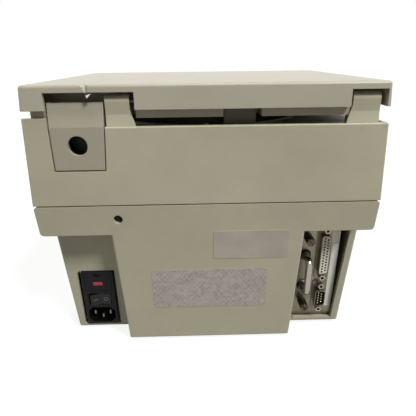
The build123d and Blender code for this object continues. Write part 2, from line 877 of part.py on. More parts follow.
with BuildPart() as keypad_overlay:
    with BuildSketch(slope_plane(overlay_thickness)) as film:
        RectangleRounded(overlay_width, overlay_length, overlay_corner)
        with Locations((display_x, display_y)):
            RectangleRounded(display_width - 2 * window_lap, display_height - 2 * window_lap,
                             window_lap, mode=Mode.SUBTRACT)
    extrude(amount=overlay_thickness)
save(keypad_overlay, "keypad_overlay")

with BuildPart() as display_window:
    with BuildSketch(slope_plane(overlay_thickness + window_thickness)) as pane:
        with Locations((display_x, display_y)):
            Rectangle(display_width - sliding_clearance, display_height - sliding_clearance)
    extrude(amount=window_thickness)
save(display_window, "display_window")

with BuildPart() as display_module:
    with BuildSketch(slope_plane(wall + display_depth)) as frame_plan:
        with Locations((display_x, display_y)):
            Rectangle(display_width + 2 * display_board_margin,
                      display_height + 2 * display_board_margin)
    extrude(amount=display_depth)
    with BuildSketch(slope_plane(wall)) as glass_plan:
        with Locations((display_x, display_y)):
            Rectangle(display_width - 2 * window_lap, display_height - 2 * window_lap)
    extrude(amount=wall - overlay_thickness - window_thickness)
save(display_module, "display_module")

with BuildPart() as main_board:
    with BuildSketch(slope_plane(main_board_gap + board_thickness)) as board_plan:
        Rectangle(main_board_width, main_board_length)
    extrude(amount=board_thickness)
    with BuildSketch(slope_plane(main_board_gap + board_thickness)) as chips:
        with GridLocations(chip_pitch, chip_pitch, 3, 2):
            Rectangle(chip_size, chip_size)
    extrude(amount=-chip_height)
save(main_board, "main_board")

# Chamber: a spun bowl whose flange sits on the deck, with a gasket for the lid pan

with BuildPart() as rotor_bowl:
    with BuildSketch(Plane.XZ.offset(-rotor_y)) as bowl_profile:
        outer = chamber_radius + chamber_wall
        with BuildLine():
            Polyline((shaft_hole_radius, chamber_floor), (outer, chamber_floor), (outer, deck_top),
                     (outer + flange_width, deck_top),
                     (outer + flange_width, deck_top + chamber_wall),
                     (chamber_radius, deck_top + chamber_wall),
                     (chamber_radius, chamber_floor + chamber_wall),
                     (shaft_hole_radius, chamber_floor + chamber_wall), close=True)
        make_face()
    revolve(bowl_profile.sketch, axis=Axis((0, rotor_y, 0), (0, 0, 1)))
    round_bar((0, source_y, chamber_floor - wall), "z", beam_hole_radius, 3 * wall, Mode.SUBTRACT)
save(rotor_bowl, "rotor_bowl")

with BuildPart() as bowl_gasket:
    gasket_bottom = deck_top + chamber_wall
    with BuildSketch(Plane.XY.offset(gasket_bottom)) as ring:
        with Locations((0, rotor_y)):
            Circle(chamber_radius + gasket_inset + gasket_width)
            Circle(chamber_radius + gasket_inset, mode=Mode.SUBTRACT)
    extrude(amount=pan_bottom - seat_gap - gasket_bottom)
save(bowl_gasket, "bowl_gasket")

# Rotor: plate, cradles for the tubes, end pads, hub and nut, on the motor shaft

with BuildPart() as rotor_plate:
    round_bar((0, rotor_y, rotor_plate_bottom), "z", rotor_radius, rotor_thickness)
    round_bar((0, rotor_y, rotor_plate_bottom), "z", spigot_radius, rotor_thickness, Mode.SUBTRACT)
    with Locations((0, rotor_y, rotor_plate_bottom)):
        with PolarLocations(beam_radius, tube_count):
            Cylinder(beam_hole_radius, 3 * rotor_thickness, mode=Mode.SUBTRACT)
save(rotor_plate, "rotor_plate")

with BuildPart() as tube_cradles:
    with BuildSketch(Plane.XY.offset(cradle_bottom)) as wedges:
        with Locations((0, rotor_y)):
            Circle(rotor_radius - pad_thickness)
            RegularPolygon(cradle_inner_radius, tube_count, mode=Mode.SUBTRACT)
            with PolarLocations(rotor_radius / 2, tube_count):
                Rectangle(rotor_radius, tube_slot_width, mode=Mode.SUBTRACT)
    extrude(amount=cradle_height)
save(tube_cradles, "tube_cradles")

with BuildPart() as tube_pads:
    with BuildSketch(Plane.XY.offset(cradle_bottom)) as pad_plan:
        with Locations((0, rotor_y)):
            with PolarLocations(rotor_radius - pad_thickness, tube_count):
                Rectangle(pad_thickness, tube_slot_width)
    extrude(amount=cradle_height)
save(tube_pads, "tube_pads")

with BuildPart() as rotor_hub:
    round_bar((0, rotor_y, rotor_plate_bottom), "z", hub_radius, -hub_drop)
    round_bar((0, rotor_y, rotor_plate_bottom), "z", spigot_radius,
              rotor_thickness + nut_height / 2)
    round_bar((0, rotor_y, rotor_plate_bottom - 2 * hub_drop), "z", shaft_radius,
              2 * hub_drop + rotor_thickness, Mode.SUBTRACT)
save(rotor_hub, "rotor_hub")

with BuildPart() as rotor_nut:
    round_bar((0, rotor_y, cradle_bottom), "z", nut_radius, nut_height)
    with Locations((0, rotor_y, cradle_bottom)):
        with PolarLocations(nut_radius, nut_grip_count):
            Cylinder(nut_grip_radius, 4 * nut_height, mode=Mode.SUBTRACT)
    round_bar((0, rotor_y, cradle_bottom), "z", spigot_radius, nut_height / 2, Mode.SUBTRACT)
save(rotor_nut, "rotor_nut")

with BuildPart() as motor_shaft:
    shaft_bottom = motor_plate_top - motor_plate_thickness - motor_bore_depth + seat_gap
    round_bar((0, rotor_y, shaft_bottom), "z", shaft_radius,
              rotor_plate_bottom + rotor_thickness - shaft_bottom)
save(motor_shaft, "motor_shaft")

with BuildPart() as drive_motor:
    body_top = motor_plate_top - motor_plate_thickness
    round_bar((0, rotor_y, body_top), "z", motor_radius, -motor_length)
    fillet(drive_motor.edges().group_by(Axis.Z)[0], motor_edge_radius)
    round_bar((0, rotor_y, body_top), "z", motor_boss_radius, motor_plate_thickness)
    round_bar((0, rotor_y, body_top - motor_bore_depth), "z", shaft_radius + running_clearance,
              2 * motor_bore_depth, Mode.SUBTRACT)
save(drive_motor, "drive_motor")

with BuildPart() as motor_plate:
    half = motor_plate_width / 2
    block((-half, half), (rotor_y - half, rotor_y + half),
          (motor_plate_top - motor_plate_thickness, motor_plate_top))
    round_bar((0, rotor_y, motor_plate_top - motor_plate_thickness), "z", motor_boss_radius,
              motor_plate_thickness, Mode.SUBTRACT)
save(motor_plate, "motor_plate")

with BuildPart() as motor_posts:
    with BuildSketch(Plane.XY.offset(bottom_top)) as post_plan:
        with Locations((0, rotor_y)):
            with GridLocations(post_spacing, post_spacing, 2, 2):
                Circle(post_radius)
    extrude(amount=motor_plate_top - motor_plate_thickness - bottom_top)
save(motor_posts, "motor_posts")

with BuildPart() as motor_grommets:
    with BuildSketch(Plane.XY.offset(motor_plate_top)) as grommet_plan:
        with Locations((0, rotor_y)):
            with GridLocations(post_spacing, post_spacing, 2, 2):
                Circle(grommet_radius)
    extrude(amount=grommet_height)
save(motor_grommets, "motor_grommets")

with BuildPart() as light_source:
    half_x, half_y = source_size[0] / 2, source_size[1] / 2
    block((-half_x, half_x), (source_y - half_y, source_y + half_y),
          (chamber_floor - source_size[2], chamber_floor))
save(light_source, "light_source")

with BuildPart() as light_sensor:
    sensor_bottom = cradle_bottom + cradle_height + sensor_rise
    half_x = sensor_size[0] / 2
    block((-half_x, half_x), (rotor_y - chamber_radius - wall, source_y + sensor_size[1] / 2),
          (sensor_bottom, sensor_bottom + sensor_size[2]))
    round_bar((0, rotor_y, sensor_bottom), "z", chamber_radius, sensor_size[2], Mode.INTERSECT)
save(light_sensor, "light_sensor")

# Lid lock: a solenoid under the deck that pushes a bolt through the strike

bolt_z = deck_under - solenoid_height / 2
solenoid_front = rear - strike_inset + deck_slot_gap
with BuildPart() as lock_solenoid:
    half_x = solenoid_width / 2
    block((lock_x - half_x, lock_x + half_x), (solenoid_front, solenoid_front + solenoid_length),
          (deck_under - solenoid_height, deck_under))
    round_bar((lock_x, solenoid_front, bolt_z), "y", bolt_radius + bolt_clearance,
              bolt_length + bolt_clearance, Mode.SUBTRACT)
save(lock_solenoid, "lock_solenoid")

with BuildPart() as lock_bolt:
    round_bar((lock_x, solenoid_front - bolt_stand, bolt_z), "y", bolt_radius, bolt_length)
    chamfer(lock_bolt.edges().group_by(Axis.Y)[0], bolt_nose)
save(lock_bolt, "lock_bolt")

# Lid: an outer moulding with a skirt, cut away round the hinge towers


def lid_outline(height, inset):
    """Plan of the lid at a height, drawn in by an inset."""
    narrowing = lid_narrowing * (height - skirt_bottom) / lid_height
    limits = (rear - lid_front_inset + narrowing + inset, rear - lid_rear_inset - narrowing - inset)
    return outline(lid_width - 2 * (narrowing + inset), limits, lid_corner - inset / 2, height)


with BuildPart() as lid_shell:
    drafted(lid_outline(skirt_bottom, 0), lid_outline(lid_top, 0))
    fillet(lid_shell.edges().group_by(Axis.Z)[-1], lid_edge_radius)
    drafted(lid_outline(skirt_bottom, lid_wall), lid_outline(lid_under, lid_wall), Mode.SUBTRACT)
    notch_y = (rear - lid_rear_inset - 2 * lid_wall, rear)
    for notch in (left_notch, right_notch):
        block(notch, notch_y, (skirt_bottom - wall, skirt_bottom + notch_height), Mode.SUBTRACT)
save(lid_shell, "lid_shell")

with BuildPart() as lid_pan:
    pan_x = lid_width / 2 - pan_side_inset
    body_y = (rear - pan_front_inset, rear - pan_rear_inset)
    rail_y = (rear - pan_rear_inset, rear - rail_inset)
    pan_z = (pan_bottom, lid_under)
    block((-pan_x, pan_x), body_y, pan_z)
    block(rail_x, rail_y, pan_z)
    block(corner_rail, (body_y[1], rear - corner_rail_inset),
          (pan_bottom, skirt_bottom + corner_rail_lap))
    block(switch_notch, rail_y, pan_z, Mode.SUBTRACT)
    # Hollow, closed below and open to the lid's underside
    inner_z = (pan_bottom + pan_wall, lid_under)
    block((-pan_x + pan_wall, pan_x - pan_wall), (body_y[0] + pan_wall, body_y[1] - pan_wall),
          inner_z, Mode.SUBTRACT)
    block((rail_x[0] + pan_ear_wall, switch_notch[0] - pan_wall), (body_y[1], rail_y[1] - pan_wall),
          inner_z, Mode.SUBTRACT)
    block((switch_notch[1] + pan_wall, rail_x[1] - pan_ear_wall), (body_y[1], rail_y[1] - pan_wall),
          inner_z, Mode.SUBTRACT)
    pin_hole = pan_ear_wall + 2 * panel_gap
    round_bar((rail_x[0], hinge_y, hinge_z), "x", pin_radius + running_clearance, pin_hole,
              Mode.SUBTRACT)
    round_bar((rail_x[1], hinge_y, hinge_z), "x", pin_radius + running_clearance, -pin_hole,
              Mode.SUBTRACT)
save(lid_pan, "lid_pan")

with BuildPart() as lid_strike:
    strike_rear = rear - strike_inset
    strike_x = (lock_x - strike_width / 2, lock_x + strike_width / 2)
    block(strike_x, (strike_rear - strike_thickness, strike_rear),
          (pan_bottom - strike_length, pan_bottom))
    block(strike_x, (strike_rear - strike_thickness, strike_rear + strike_foot_depth),
          (pan_bottom - strike_thickness / 2, pan_bottom))
    round_bar((lock_x, strike_rear + wall, bolt_z), "y", strike_hole_radius, -3 * wall,
              Mode.SUBTRACT)
save(lid_strike, "lid_strike")

# Mains inlet: bracket, body, contacts, rocker and fuse drawer

inlet_foot = datum + inlet_bottom
socket_middle = inlet_foot + socket_rise + socket_height / 2
rocker_middle = datum + rocker_rise + rocker_height / 2
drawer_middle = datum + drawer_rise + drawer_height / 2
body_half = inlet_width / 2 - inlet_body_inset
body_z = (inlet_foot + inlet_body_inset, inlet_foot + inlet_height - inlet_body_inset)


def inlet_rectangle(inset, width, height, middle, radius):
    """Rounded rectangle on an upright plane, centred on the inlet."""
    with BuildSketch(rear_plane(inset)) as face:
        with Locations((inlet_x, middle)):
            RectangleRounded(width, height, radius)
    return face.sketch


with BuildPart() as inlet_bracket:
    block(bracket_x, (rear - bracket_inset - bracket_thickness, rear - bracket_inset),
          (bottom_top, datum + bracket_height))
    block((bracket_x[0], bracket_x[0] + bracket_thickness),
          (rear - bracket_inset - bracket_flange, rear - bracket_inset),
          (bottom_top, datum + bracket_height))
    block((inlet_x - body_half, inlet_x + body_half), (rear - 2 * bracket_inset, rear), body_z,
          Mode.SUBTRACT)
save(inlet_bracket, "inlet_bracket")

with BuildPart() as inlet_body:
    bezel_middle = inlet_foot + inlet_height / 2
    extrude(inlet_rectangle(bezel_inset, inlet_width, inlet_height, bezel_middle, inlet_corner),
            amount=bezel_thickness)
    chamfer(inlet_body.edges().group_by(Axis.Y)[-1], inlet_corner / 4)
    block((inlet_x - body_half, inlet_x + body_half),
          (rear - bracket_inset - inlet_body_depth, rear - bracket_inset), body_z)
    # Socket space with its two lower corners cut
    with BuildSketch(rear_plane(bezel_inset)) as socket_face:
        with Locations((inlet_x, socket_middle)):
            Rectangle(socket_width, socket_height)
        corners = socket_face.vertices().group_by(Axis.Z)
        chamfer(corners[0], socket_chamfer)
        fillet(socket_face.vertices().group_by(Axis.Z)[-1], socket_corner)
    extrude(socket_face.sketch, amount=socket_depth, mode=Mode.SUBTRACT)
    # Well of the rocker with the holes of its pivot
    extrude(inlet_rectangle(bezel_inset, rocker_width, rocker_height, rocker_middle,
                            2 * sliding_clearance),
            amount=rocker_well_depth, mode=Mode.SUBTRACT)
    pivot_y = rear - bezel_inset - rocker_pivot_depth
    pivot_reach = rocker_height / 2 + rocker_pin_radius
    round_bar((inlet_x, pivot_y, rocker_middle - pivot_reach), "z",
              rocker_pin_radius + running_clearance, 2 * pivot_reach, Mode.SUBTRACT)
    # Seat of the fuse drawer's front and the space of its tray
    extrude(inlet_rectangle(bezel_inset, drawer_width + 2 * sliding_clearance,
                            drawer_height + 2 * sliding_clearance, drawer_middle, inlet_corner / 2),
            amount=drawer_front + seat_gap, mode=Mode.SUBTRACT)
    tray_half = drawer_width / 2 - drawer_body_inset + sliding_clearance
    tray_rise = drawer_height / 2 - drawer_body_inset + sliding_clearance
    block((inlet_x - tray_half, inlet_x + tray_half),
          (rear - bezel_inset - drawer_length - seat_gap, rear - bezel_inset),
          (drawer_middle - tray_rise, drawer_middle + tray_rise), Mode.SUBTRACT)
save(inlet_body, "inlet_body")

with BuildPart() as inlet_pins:
    contact_z = socket_middle + contact_offset / 2 - contact_drop
    places = [(inlet_x - contact_pitch / 2, contact_z), (inlet_x, contact_z - contact_offset),
              (inlet_x + contact_pitch / 2, contact_z)]
    with BuildSketch(rear_plane(bezel_inset + socket_depth - contact_length)) as blades:
        with Locations(*places):
            Rectangle(*contact_size)
    extrude(amount=contact_length)
    chamfer(inlet_pins.edges().group_by(Axis.Y)[-1], contact_size[0] / 5)
save(inlet_pins, "inlet_pins")

with BuildPart() as rocker_switch:
    tilt = radians(rocker_tilt)
    rocker_foot = (inlet_x, pivot_y, rocker_middle - rocker_height / 2 + sliding_clearance)
    with BuildSketch(Plane(origin=rocker_foot, x_dir=(cos(tilt), sin(tilt), 0))) as side:
        with BuildLine():
            Polyline((-rocker_face_half, rocker_stand + rocker_pivot_depth),
                     (0, rocker_pivot_depth - rocker_valley),
                     (rocker_face_half, rocker_stand + rocker_pivot_depth),
                     (rocker_side_half, rocker_pivot_depth - rocker_side_depth),
                     (rocker_keel_half, rocker_pivot_depth - rocker_keel_depth),
                     (-rocker_keel_half, rocker_pivot_depth - rocker_keel_depth),
                     (-rocker_side_half, rocker_pivot_depth - rocker_side_depth), close=True)
        make_face()
    extrude(amount=rocker_height - 2 * sliding_clearance)
    stub = rocker_height / 2 + rocker_pin_radius - seat_gap
    round_bar((inlet_x, pivot_y, rocker_middle - stub), "z", rocker_pin_radius, 2 * stub)
save(rocker_switch, "rocker_switch")

with BuildPart() as fuse_drawer:
    drawer_y = rear - bezel_inset
    extrude(inlet_rectangle(bezel_inset, drawer_width, drawer_height, drawer_middle,
                            inlet_corner / 2), amount=drawer_front)
    tray_half = drawer_width / 2 - drawer_body_inset
    tray_rise = drawer_height / 2 - drawer_body_inset
    tray_z = (drawer_middle - tray_rise, drawer_middle + tray_rise)
    block((inlet_x - tray_half, inlet_x + tray_half),
          (drawer_y - drawer_length, drawer_y - drawer_front), tray_z)
    # Two troughs for the fuses, open above
    trough_half = (tray_half - 1.5 * drawer_wall) / 2
    for side in (-1, 1):
        middle = inlet_x + side * (trough_half + drawer_wall / 2)
        block((middle - trough_half, middle + trough_half),
              (drawer_y - drawer_length + drawer_wall, drawer_y - drawer_front - drawer_wall),
              (tray_z[0] + drawer_wall, tray_z[1] + wall), Mode.SUBTRACT)
    # Seat of the red window and a finger notch at the upper edge
    window_middle = datum + drawer_rise + red_window_rise + red_window_height / 2
    block((inlet_x - red_window_width / 2, inlet_x + red_window_width / 2),
          (drawer_y - drawer_front / 2, drawer_y + wall),
          (window_middle - red_window_height / 2, window_middle + red_window_height / 2),
          Mode.SUBTRACT)
    round_bar((inlet_x, drawer_y + wall, drawer_middle + drawer_height / 2), "y",
              drawer_notch_radius, -wall - drawer_front / 2, Mode.SUBTRACT)
save(fuse_drawer, "fuse_drawer")

with BuildPart() as fuse_window:
    block((inlet_x - red_window_width / 2, inlet_x + red_window_width / 2),
          (drawer_y - drawer_front / 2, drawer_y),
          (window_middle - red_window_height / 2, window_middle + red_window_height / 2))
save(fuse_window, "fuse_window")

with BuildPart() as fuses:
    for side in (-1, 1):
        middle = inlet_x + side * (trough_half + drawer_wall / 2)
        fuse_start = (middle, drawer_y - drawer_front - 2 * drawer_wall,
                      tray_z[0] + drawer_wall + fuse_radius)
        round_bar(fuse_start, "y", fuse_radius, -fuse_length)
save(fuses, "fuses")

# Frame, card guides and card socket of the interface module, fixed in the casing

frame_inset = panel_inset + panel_thickness
guide_inset = frame_inset + frame_thickness
card_middle = card_x + card_thickness / 2

with BuildPart() as module_frame:
    frame_x = (panel_x[0] - frame_margin / 2, panel_x[1] + frame_margin / 2)
    block(frame_x, (rear - guide_inset, rear - frame_inset), (bottom_top, datum + frame_height))
    block(frame_x, (rear - frame_inset - frame_flange, rear - frame_inset),
          (bottom_top, bottom_top + frame_thickness))
    block((panel_x[0] + frame_margin, panel_x[1] - frame_strip), (rear - 2 * frame_inset, rear),
          (datum + panel_bottom + frame_margin, datum + panel_top - frame_margin),
          Mode.SUBTRACT)
    for height in captive_heights:
        round_bar((captive_x, rear, datum + height), "y",
                  captive_thread_radius + running_clearance, -2 * frame_inset, Mode.SUBTRACT)
save(module_frame, "module_frame")

lower_guide = (bottom_top + frame_thickness, bottom_top + guide_height)
upper_guide = (datum + card_heights[1] - guide_groove + sliding_clearance,
               datum + card_heights[1] - guide_groove + guide_height)
with BuildPart() as card_guides:
    guide_x = (card_middle - guide_width / 2, card_middle + guide_width / 2)
    groove_half = card_thickness / 2 + sliding_clearance
    guide_y = (rear - guide_inset - guide_length, rear - guide_inset)
    for guide_z in (lower_guide, upper_guide):
        block(guide_x, guide_y, guide_z)
    block((card_middle - groove_half, card_middle + groove_half), guide_y,
          (datum + card_heights[0] - sliding_clearance, datum + card_heights[1] + sliding_clearance),
          Mode.SUBTRACT)
save(card_guides, "card_guides")

card_end = rear - frame_inset - card_length
with BuildPart() as card_socket:
    half = card_socket_size[0] / 2
    block((card_middle - half, card_middle + half),
          (card_end - card_socket_size[1] + socket_overlap, card_end + socket_overlap),
          (lower_guide[1], upper_guide[0]))
    block((card_middle - groove_half, card_middle + groove_half),
          (card_end - sliding_clearance, card_end + wall + socket_overlap),
          (lower_guide[1] - wall, upper_guide[1] + wall), Mode.SUBTRACT)
save(card_socket, "card_socket")

# Interface module: panel, card, bow handle, two connectors and a strip label


def connector_outline(inset, middle, size, inner=0.0):
    """D-shaped outline on an upright plane, its long side towards +X, drawn in by an amount."""
    half_long = size[0] / 2 - inner
    half_wide = size[1] / 2 - inner
    taper = 2 * half_wide * tan(radians(shell_angle))
    with BuildSketch(rear_plane(inset)) as face:
        with BuildLine():
            Polyline((connector_x + half_wide, middle - half_long),
                     (connector_x + half_wide, middle + half_long),
                     (connector_x - half_wide, middle + half_long - taper),
                     (connector_x - half_wide, middle - half_long + taper), close=True)
        make_face()
        fillet(face.vertices(), shell_corner - inner)
    return face.sketch


def contact_places(long_row, middle):
    """Places of two staggered rows of contacts, the longer row towards +X."""
    rows = ((long_row, connector_x + row_spacing / 2), (long_row - 1, connector_x - row_spacing / 2))
    return [(x, middle + contact_spacing * (index - (count - 1) / 2))
            for count, x in rows for index in range(count)]


def connector_housing(middle, size, screw_pitch):
    """Flange and hollow shell of a connector, standing proud of the panel."""
    flange_inset = panel_inset - connector_flange
    with BuildSketch(rear_plane(flange_inset)) as face:
        with Locations((connector_x, middle)):
            RectangleRounded(flange_height, screw_pitch + flange_extra, shell_corner)
    extrude(face.sketch, amount=connector_flange)
    extrude(connector_outline(flange_inset - shell_proud, middle, size), amount=shell_proud)
    extrude(connector_outline(flange_inset - 2 * shell_proud, middle, size, shell_wall),
            amount=4 * shell_proud, mode=Mode.SUBTRACT)


parallel_middle = datum + parallel_height
serial_middle = datum + serial_height
shell_front = panel_inset - connector_flange - shell_proud
tail_end = panel_inset + panel_thickness + connector_tail
connectors = ((parallel_middle, parallel_shell, parallel_screw_pitch),
              (serial_middle, serial_shell, serial_screw_pitch))

with BuildPart() as interface_panel:
    block(panel_x, (rear - frame_inset, rear - panel_inset),
          (datum + panel_bottom, datum + panel_top))
    for middle, size, screw_pitch in connectors:
        extrude(connector_outline(panel_inset - wall, middle, size, -sliding_clearance),
                amount=3 * wall, mode=Mode.SUBTRACT)
    for height in captive_heights:
        round_bar((captive_x, rear, datum + height), "y",
                  captive_thread_radius + running_clearance, -2 * frame_inset, Mode.SUBTRACT)
save(interface_panel, "interface_panel")

with BuildPart() as interface_board:
    block((card_x, card_x + card_thickness), (card_end, rear - frame_inset),
          (datum + card_heights[0], datum + card_heights[1]))
    chip_x = (card_x + card_thickness, card_x + card_thickness + chip_height)
    card_middle_z = datum + (card_heights[0] + card_heights[1]) / 2
    for row in (-1, 1):
        for column in (-1, 0, 1):
            chip_y = (card_end + rear - frame_inset) / 2 + column * chip_pitch
            chip_z = card_middle_z + row * chip_pitch / 2
            block(chip_x, (chip_y - chip_size / 2, chip_y + chip_size / 2),
                  (chip_z - chip_size / 2, chip_z + chip_size / 2))
save(interface_board, "interface_board")

with BuildPart() as bow_handle:
    grip_root = rear - panel_inset
    grip_front = grip_root + grip_stand - grip_radius
    with BuildLine(Plane.YZ.offset(grip_x)) as grip_path:
        FilletPolyline((grip_root, datum + grip_upper), (grip_front, datum + grip_upper),
                       (grip_front, datum + grip_lower), (grip_root, datum + grip_lower),
                       radius=grip_bend)
    with BuildSketch(Plane(origin=(grip_x, grip_root, datum + grip_upper), z_dir=(0, 1, 0))):
        Circle(grip_radius)
    sweep(path=grip_path.wires()[0])
    for height in (grip_upper, grip_lower):
        round_bar((grip_x, grip_root, datum + height), "y", grip_collar_radius,
                  grip_collar_length)
save(bow_handle, "bow_handle")

with BuildPart() as parallel_housing:
    connector_housing(*connectors[0])
save(parallel_housing, "parallel_shell")

with BuildPart() as serial_housing:
    connector_housing(*connectors[1])
save(serial_housing, "serial_shell")

with BuildPart() as parallel_insert:
    insert_front = shell_front + sliding_clearance
    extrude(connector_outline(insert_front, parallel_middle, parallel_shell, shell_wall),
            amount=tail_end - insert_front)
    with BuildSketch(rear_plane(insert_front)) as holes:
        with Locations(*contact_places(parallel_row_count, parallel_middle)):
            Circle(contact_hole_radius)
    extrude(amount=hole_depth, mode=Mode.SUBTRACT)
save(parallel_insert, "parallel_insert")

with BuildPart() as serial_insert:
    insert_front = shell_front + serial_recess
    extrude(connector_outline(insert_front, serial_middle, serial_shell, shell_wall),
            amount=tail_end - insert_front)
save(serial_insert, "serial_insert")

with BuildPart() as serial_pins:
    with BuildSketch(rear_plane(shell_front + pin_recess)) as pins:
        with Locations(*contact_places(serial_row_count, serial_middle)):
            Circle(serial_contact_radius)
    extrude(amount=serial_recess - pin_recess)
save(serial_pins, "serial_pins")

with BuildPart() as jackscrews:
    nut_inset = panel_inset - connector_flange - jackscrew_length
    nut_places = [(connector_x, middle + side * screw_pitch / 2)
                  for middle, size, screw_pitch in connectors for side in (-1, 1)]
    with BuildSketch(rear_plane(nut_inset)) as nuts:
        with Locations(*nut_places):
            RegularPolygon(jackscrew_flats / 2, 6, major_radius=False)
            Circle(jackscrew_bore, mode=Mode.SUBTRACT)
    extrude(amount=jackscrew_length)
save(jackscrews, "jackscrews")

with BuildPart() as panel_label:
    with BuildSketch(rear_plane(panel_inset - label_thickness)) as strip:
        with Locations((strip_x, datum + (strip_bottom + strip_top) / 2)):
            Rectangle(strip_width, strip_top - strip_bottom, rotation=strip_tilt)
    extrude(amount=label_thickness)
save(panel_label, "panel_label")

# Captive screws of the module: neck, head with a driver slot, and thread

for name, height in zip(("captive_screw_lower", "captive_screw_upper"), captive_heights):
    with BuildPart() as captive_screw:
        centre_z = datum + height
        neck_start = rear - panel_inset + captive_gap
        head_start = rear - panel_inset + captive_neck_length
        round_bar((captive_x, neck_start, centre_z), "y", captive_neck_radius,
                  head_start - neck_start)
        round_bar((captive_x, head_start, centre_z), "y", captive_radius, captive_length)
        fillet(captive_screw.edges().group_by(Axis.Y)[-1], captive_slot_width / 2)
        round_bar((captive_x, neck_start, centre_z), "y", captive_thread_radius,
                  -captive_thread_length)
        with BuildSketch(rear_plane(rear - head_start - captive_length)) as slot:
            with Locations((captive_x, centre_z)):
                Rectangle(3 * captive_radius, captive_slot_width, rotation=captive_slot_angle)
        extrude(slot.sketch, amount=captive_slot_depth, mode=Mode.SUBTRACT)
    save(captive_screw, name)

# Labels on the drafted face of the rear block


def block_face_y(height):
    """Y of the rear block's face, carried on in a straight line above the block."""
    fall = (band_bottom - height) / (band_bottom - ground)
    return rear - band_narrowing - block_rear_draft * fall


for name, limits, radius in (("upper_label", upper_label, rating_corner / 2),
                             ("rating_label", rating_label, rating_corner)):
    low, high = datum + limits[2], datum + limits[3]
    with BuildPart() as label:
        with BuildSketch(rear_plane(-wall)) as label_face:
            with Locations(((limits[0] + limits[1]) / 2, (low + high) / 2)):
                RectangleRounded(limits[1] - limits[0], high - low, radius)
        extrude(amount=4 * wall)
        with BuildSketch(Plane.YZ.offset(limits[0])) as label_side:
            with BuildLine():
                Polyline((block_face_y(low), low), (block_face_y(high), high),
                         (block_face_y(high) + label_thickness, high),
                         (block_face_y(low) + label_thickness, low), close=True)
            make_face()
        extrude(amount=limits[1] - limits[0], mode=Mode.INTERSECT)
    save(label, name)

# Power supply on the bottom plate

supply_y = (rear - supply_y_insets[1], rear - supply_y_insets[0])
supply_middle = ((supply_x[0] + supply_x[1]) / 2, (supply_y[0] + supply_y[1]) / 2)
supply_top = bottom_top + supply_stand + board_thickness
with BuildPart() as supply_board:
    block(supply_x, supply_y, (supply_top - board_thickness, supply_top))
    with BuildSketch(Plane.XY.offset(bottom_top)) as stands:
        with Locations(supply_middle):
            with GridLocations(supply_x[1] - supply_x[0] - 2 * stand_margin,
                               supply_y[1] - supply_y[0] - 2 * stand_margin, 2, 2):
                Circle(stand_radius)
    extrude(amount=supply_stand)
    with BuildSketch(Plane.XY.offset(supply_top)) as capacitors:
        with Locations((supply_middle[0] - transformer_shift, supply_middle[1])):
            with GridLocations(capacitor_pitch, capacitor_pitch, 2, 2):
                Circle(capacitor_radius)
    extrude(amount=capacitor_height)
save(supply_board, "supply_board")

with BuildPart() as transformer:
    with Locations((supply_middle[0] + transformer_shift, supply_middle[1],
                    supply_top + transformer_size[2] / 2)):
        Box(*transformer_size)
        Box(transformer_size[0] - 2 * winding_margin, transformer_size[1] + 2 * winding_margin,
            transformer_size[2] - 2 * winding_margin)
save(transformer, "transformer")
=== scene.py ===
"""Looks of the bench sedimentation analyzer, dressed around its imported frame. All in metres."""
import json
import math

import bmesh
import bpy
from mathutils import Matrix, Vector


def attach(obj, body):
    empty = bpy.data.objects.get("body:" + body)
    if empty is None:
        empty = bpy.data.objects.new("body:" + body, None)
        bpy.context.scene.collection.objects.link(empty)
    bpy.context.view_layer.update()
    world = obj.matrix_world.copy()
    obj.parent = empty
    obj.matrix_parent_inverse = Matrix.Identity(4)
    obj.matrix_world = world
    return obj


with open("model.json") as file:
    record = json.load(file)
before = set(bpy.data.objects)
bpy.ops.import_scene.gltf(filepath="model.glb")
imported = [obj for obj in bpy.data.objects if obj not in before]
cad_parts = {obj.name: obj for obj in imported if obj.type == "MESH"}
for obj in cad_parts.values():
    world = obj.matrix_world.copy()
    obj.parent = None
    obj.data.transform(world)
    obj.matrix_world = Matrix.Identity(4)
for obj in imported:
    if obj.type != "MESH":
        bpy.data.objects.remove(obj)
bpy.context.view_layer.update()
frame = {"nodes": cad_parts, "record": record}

scene = bpy.context.scene
mm = 0.001

# Sloping front panel: the middle of its surface, its tilt, and a plane laid on it
slope_y = -102.711 * mm
slope_z = 169.4 * mm
slope_tilt = math.atan2(46.2, 118.423)
on_slope = Matrix.Translation((0, slope_y, slope_z)) @ Matrix.Rotation(slope_tilt, 4, "X")

# A plane that faces the rear: X runs to the right of someone behind the unit, Y runs up
facing_rear = Matrix(((-1, 0, 0, 0), (0, 0, 1, 0), (0, 1, 0, 0), (0, 0, 0, 1)))

# The rotor's upright axis is at X = 0 and this Y
rotor_y = 54.5 * mm

# In millimetres: how thick print stands, how deep a mark sinks into what carries it,
# and how near two points have to be to count as one
print_height = 0.08
sunk = 0.01
same_spot = 0.001


def at(x, y, z):
    """Move to a place given in millimetres."""
    return Matrix.Translation((x * mm, y * mm, z * mm))


def turn(degrees, axis):
    """Turn by degrees about an axis."""
    return Matrix.Rotation(math.radians(degrees), 4, axis)


# Shapes, each built in millimetres at the origin with its foot on Z = 0

def turned(profile, steps, closed=False):
    """Shape spun about Z from points of radius and height."""
    part = bmesh.new()
    points = [part.verts.new((radius, 0, height)) for radius, height in profile]
    edges = [part.edges.new(pair) for pair in zip(points, points[1:])]
    if closed:
        edges.append(part.edges.new((points[-1], points[0])))
    bmesh.ops.spin(part, geom=points + edges, cent=(0, 0, 0), axis=(0, 0, 1), dvec=(0, 0, 0),
                   angle=2 * math.pi, steps=steps, use_merge=True, use_duplicate=False)
    bmesh.ops.remove_doubles(part, verts=part.verts, dist=same_spot)
    bmesh.ops.dissolve_degenerate(part, dist=same_spot / 10, edges=part.edges)
    return part


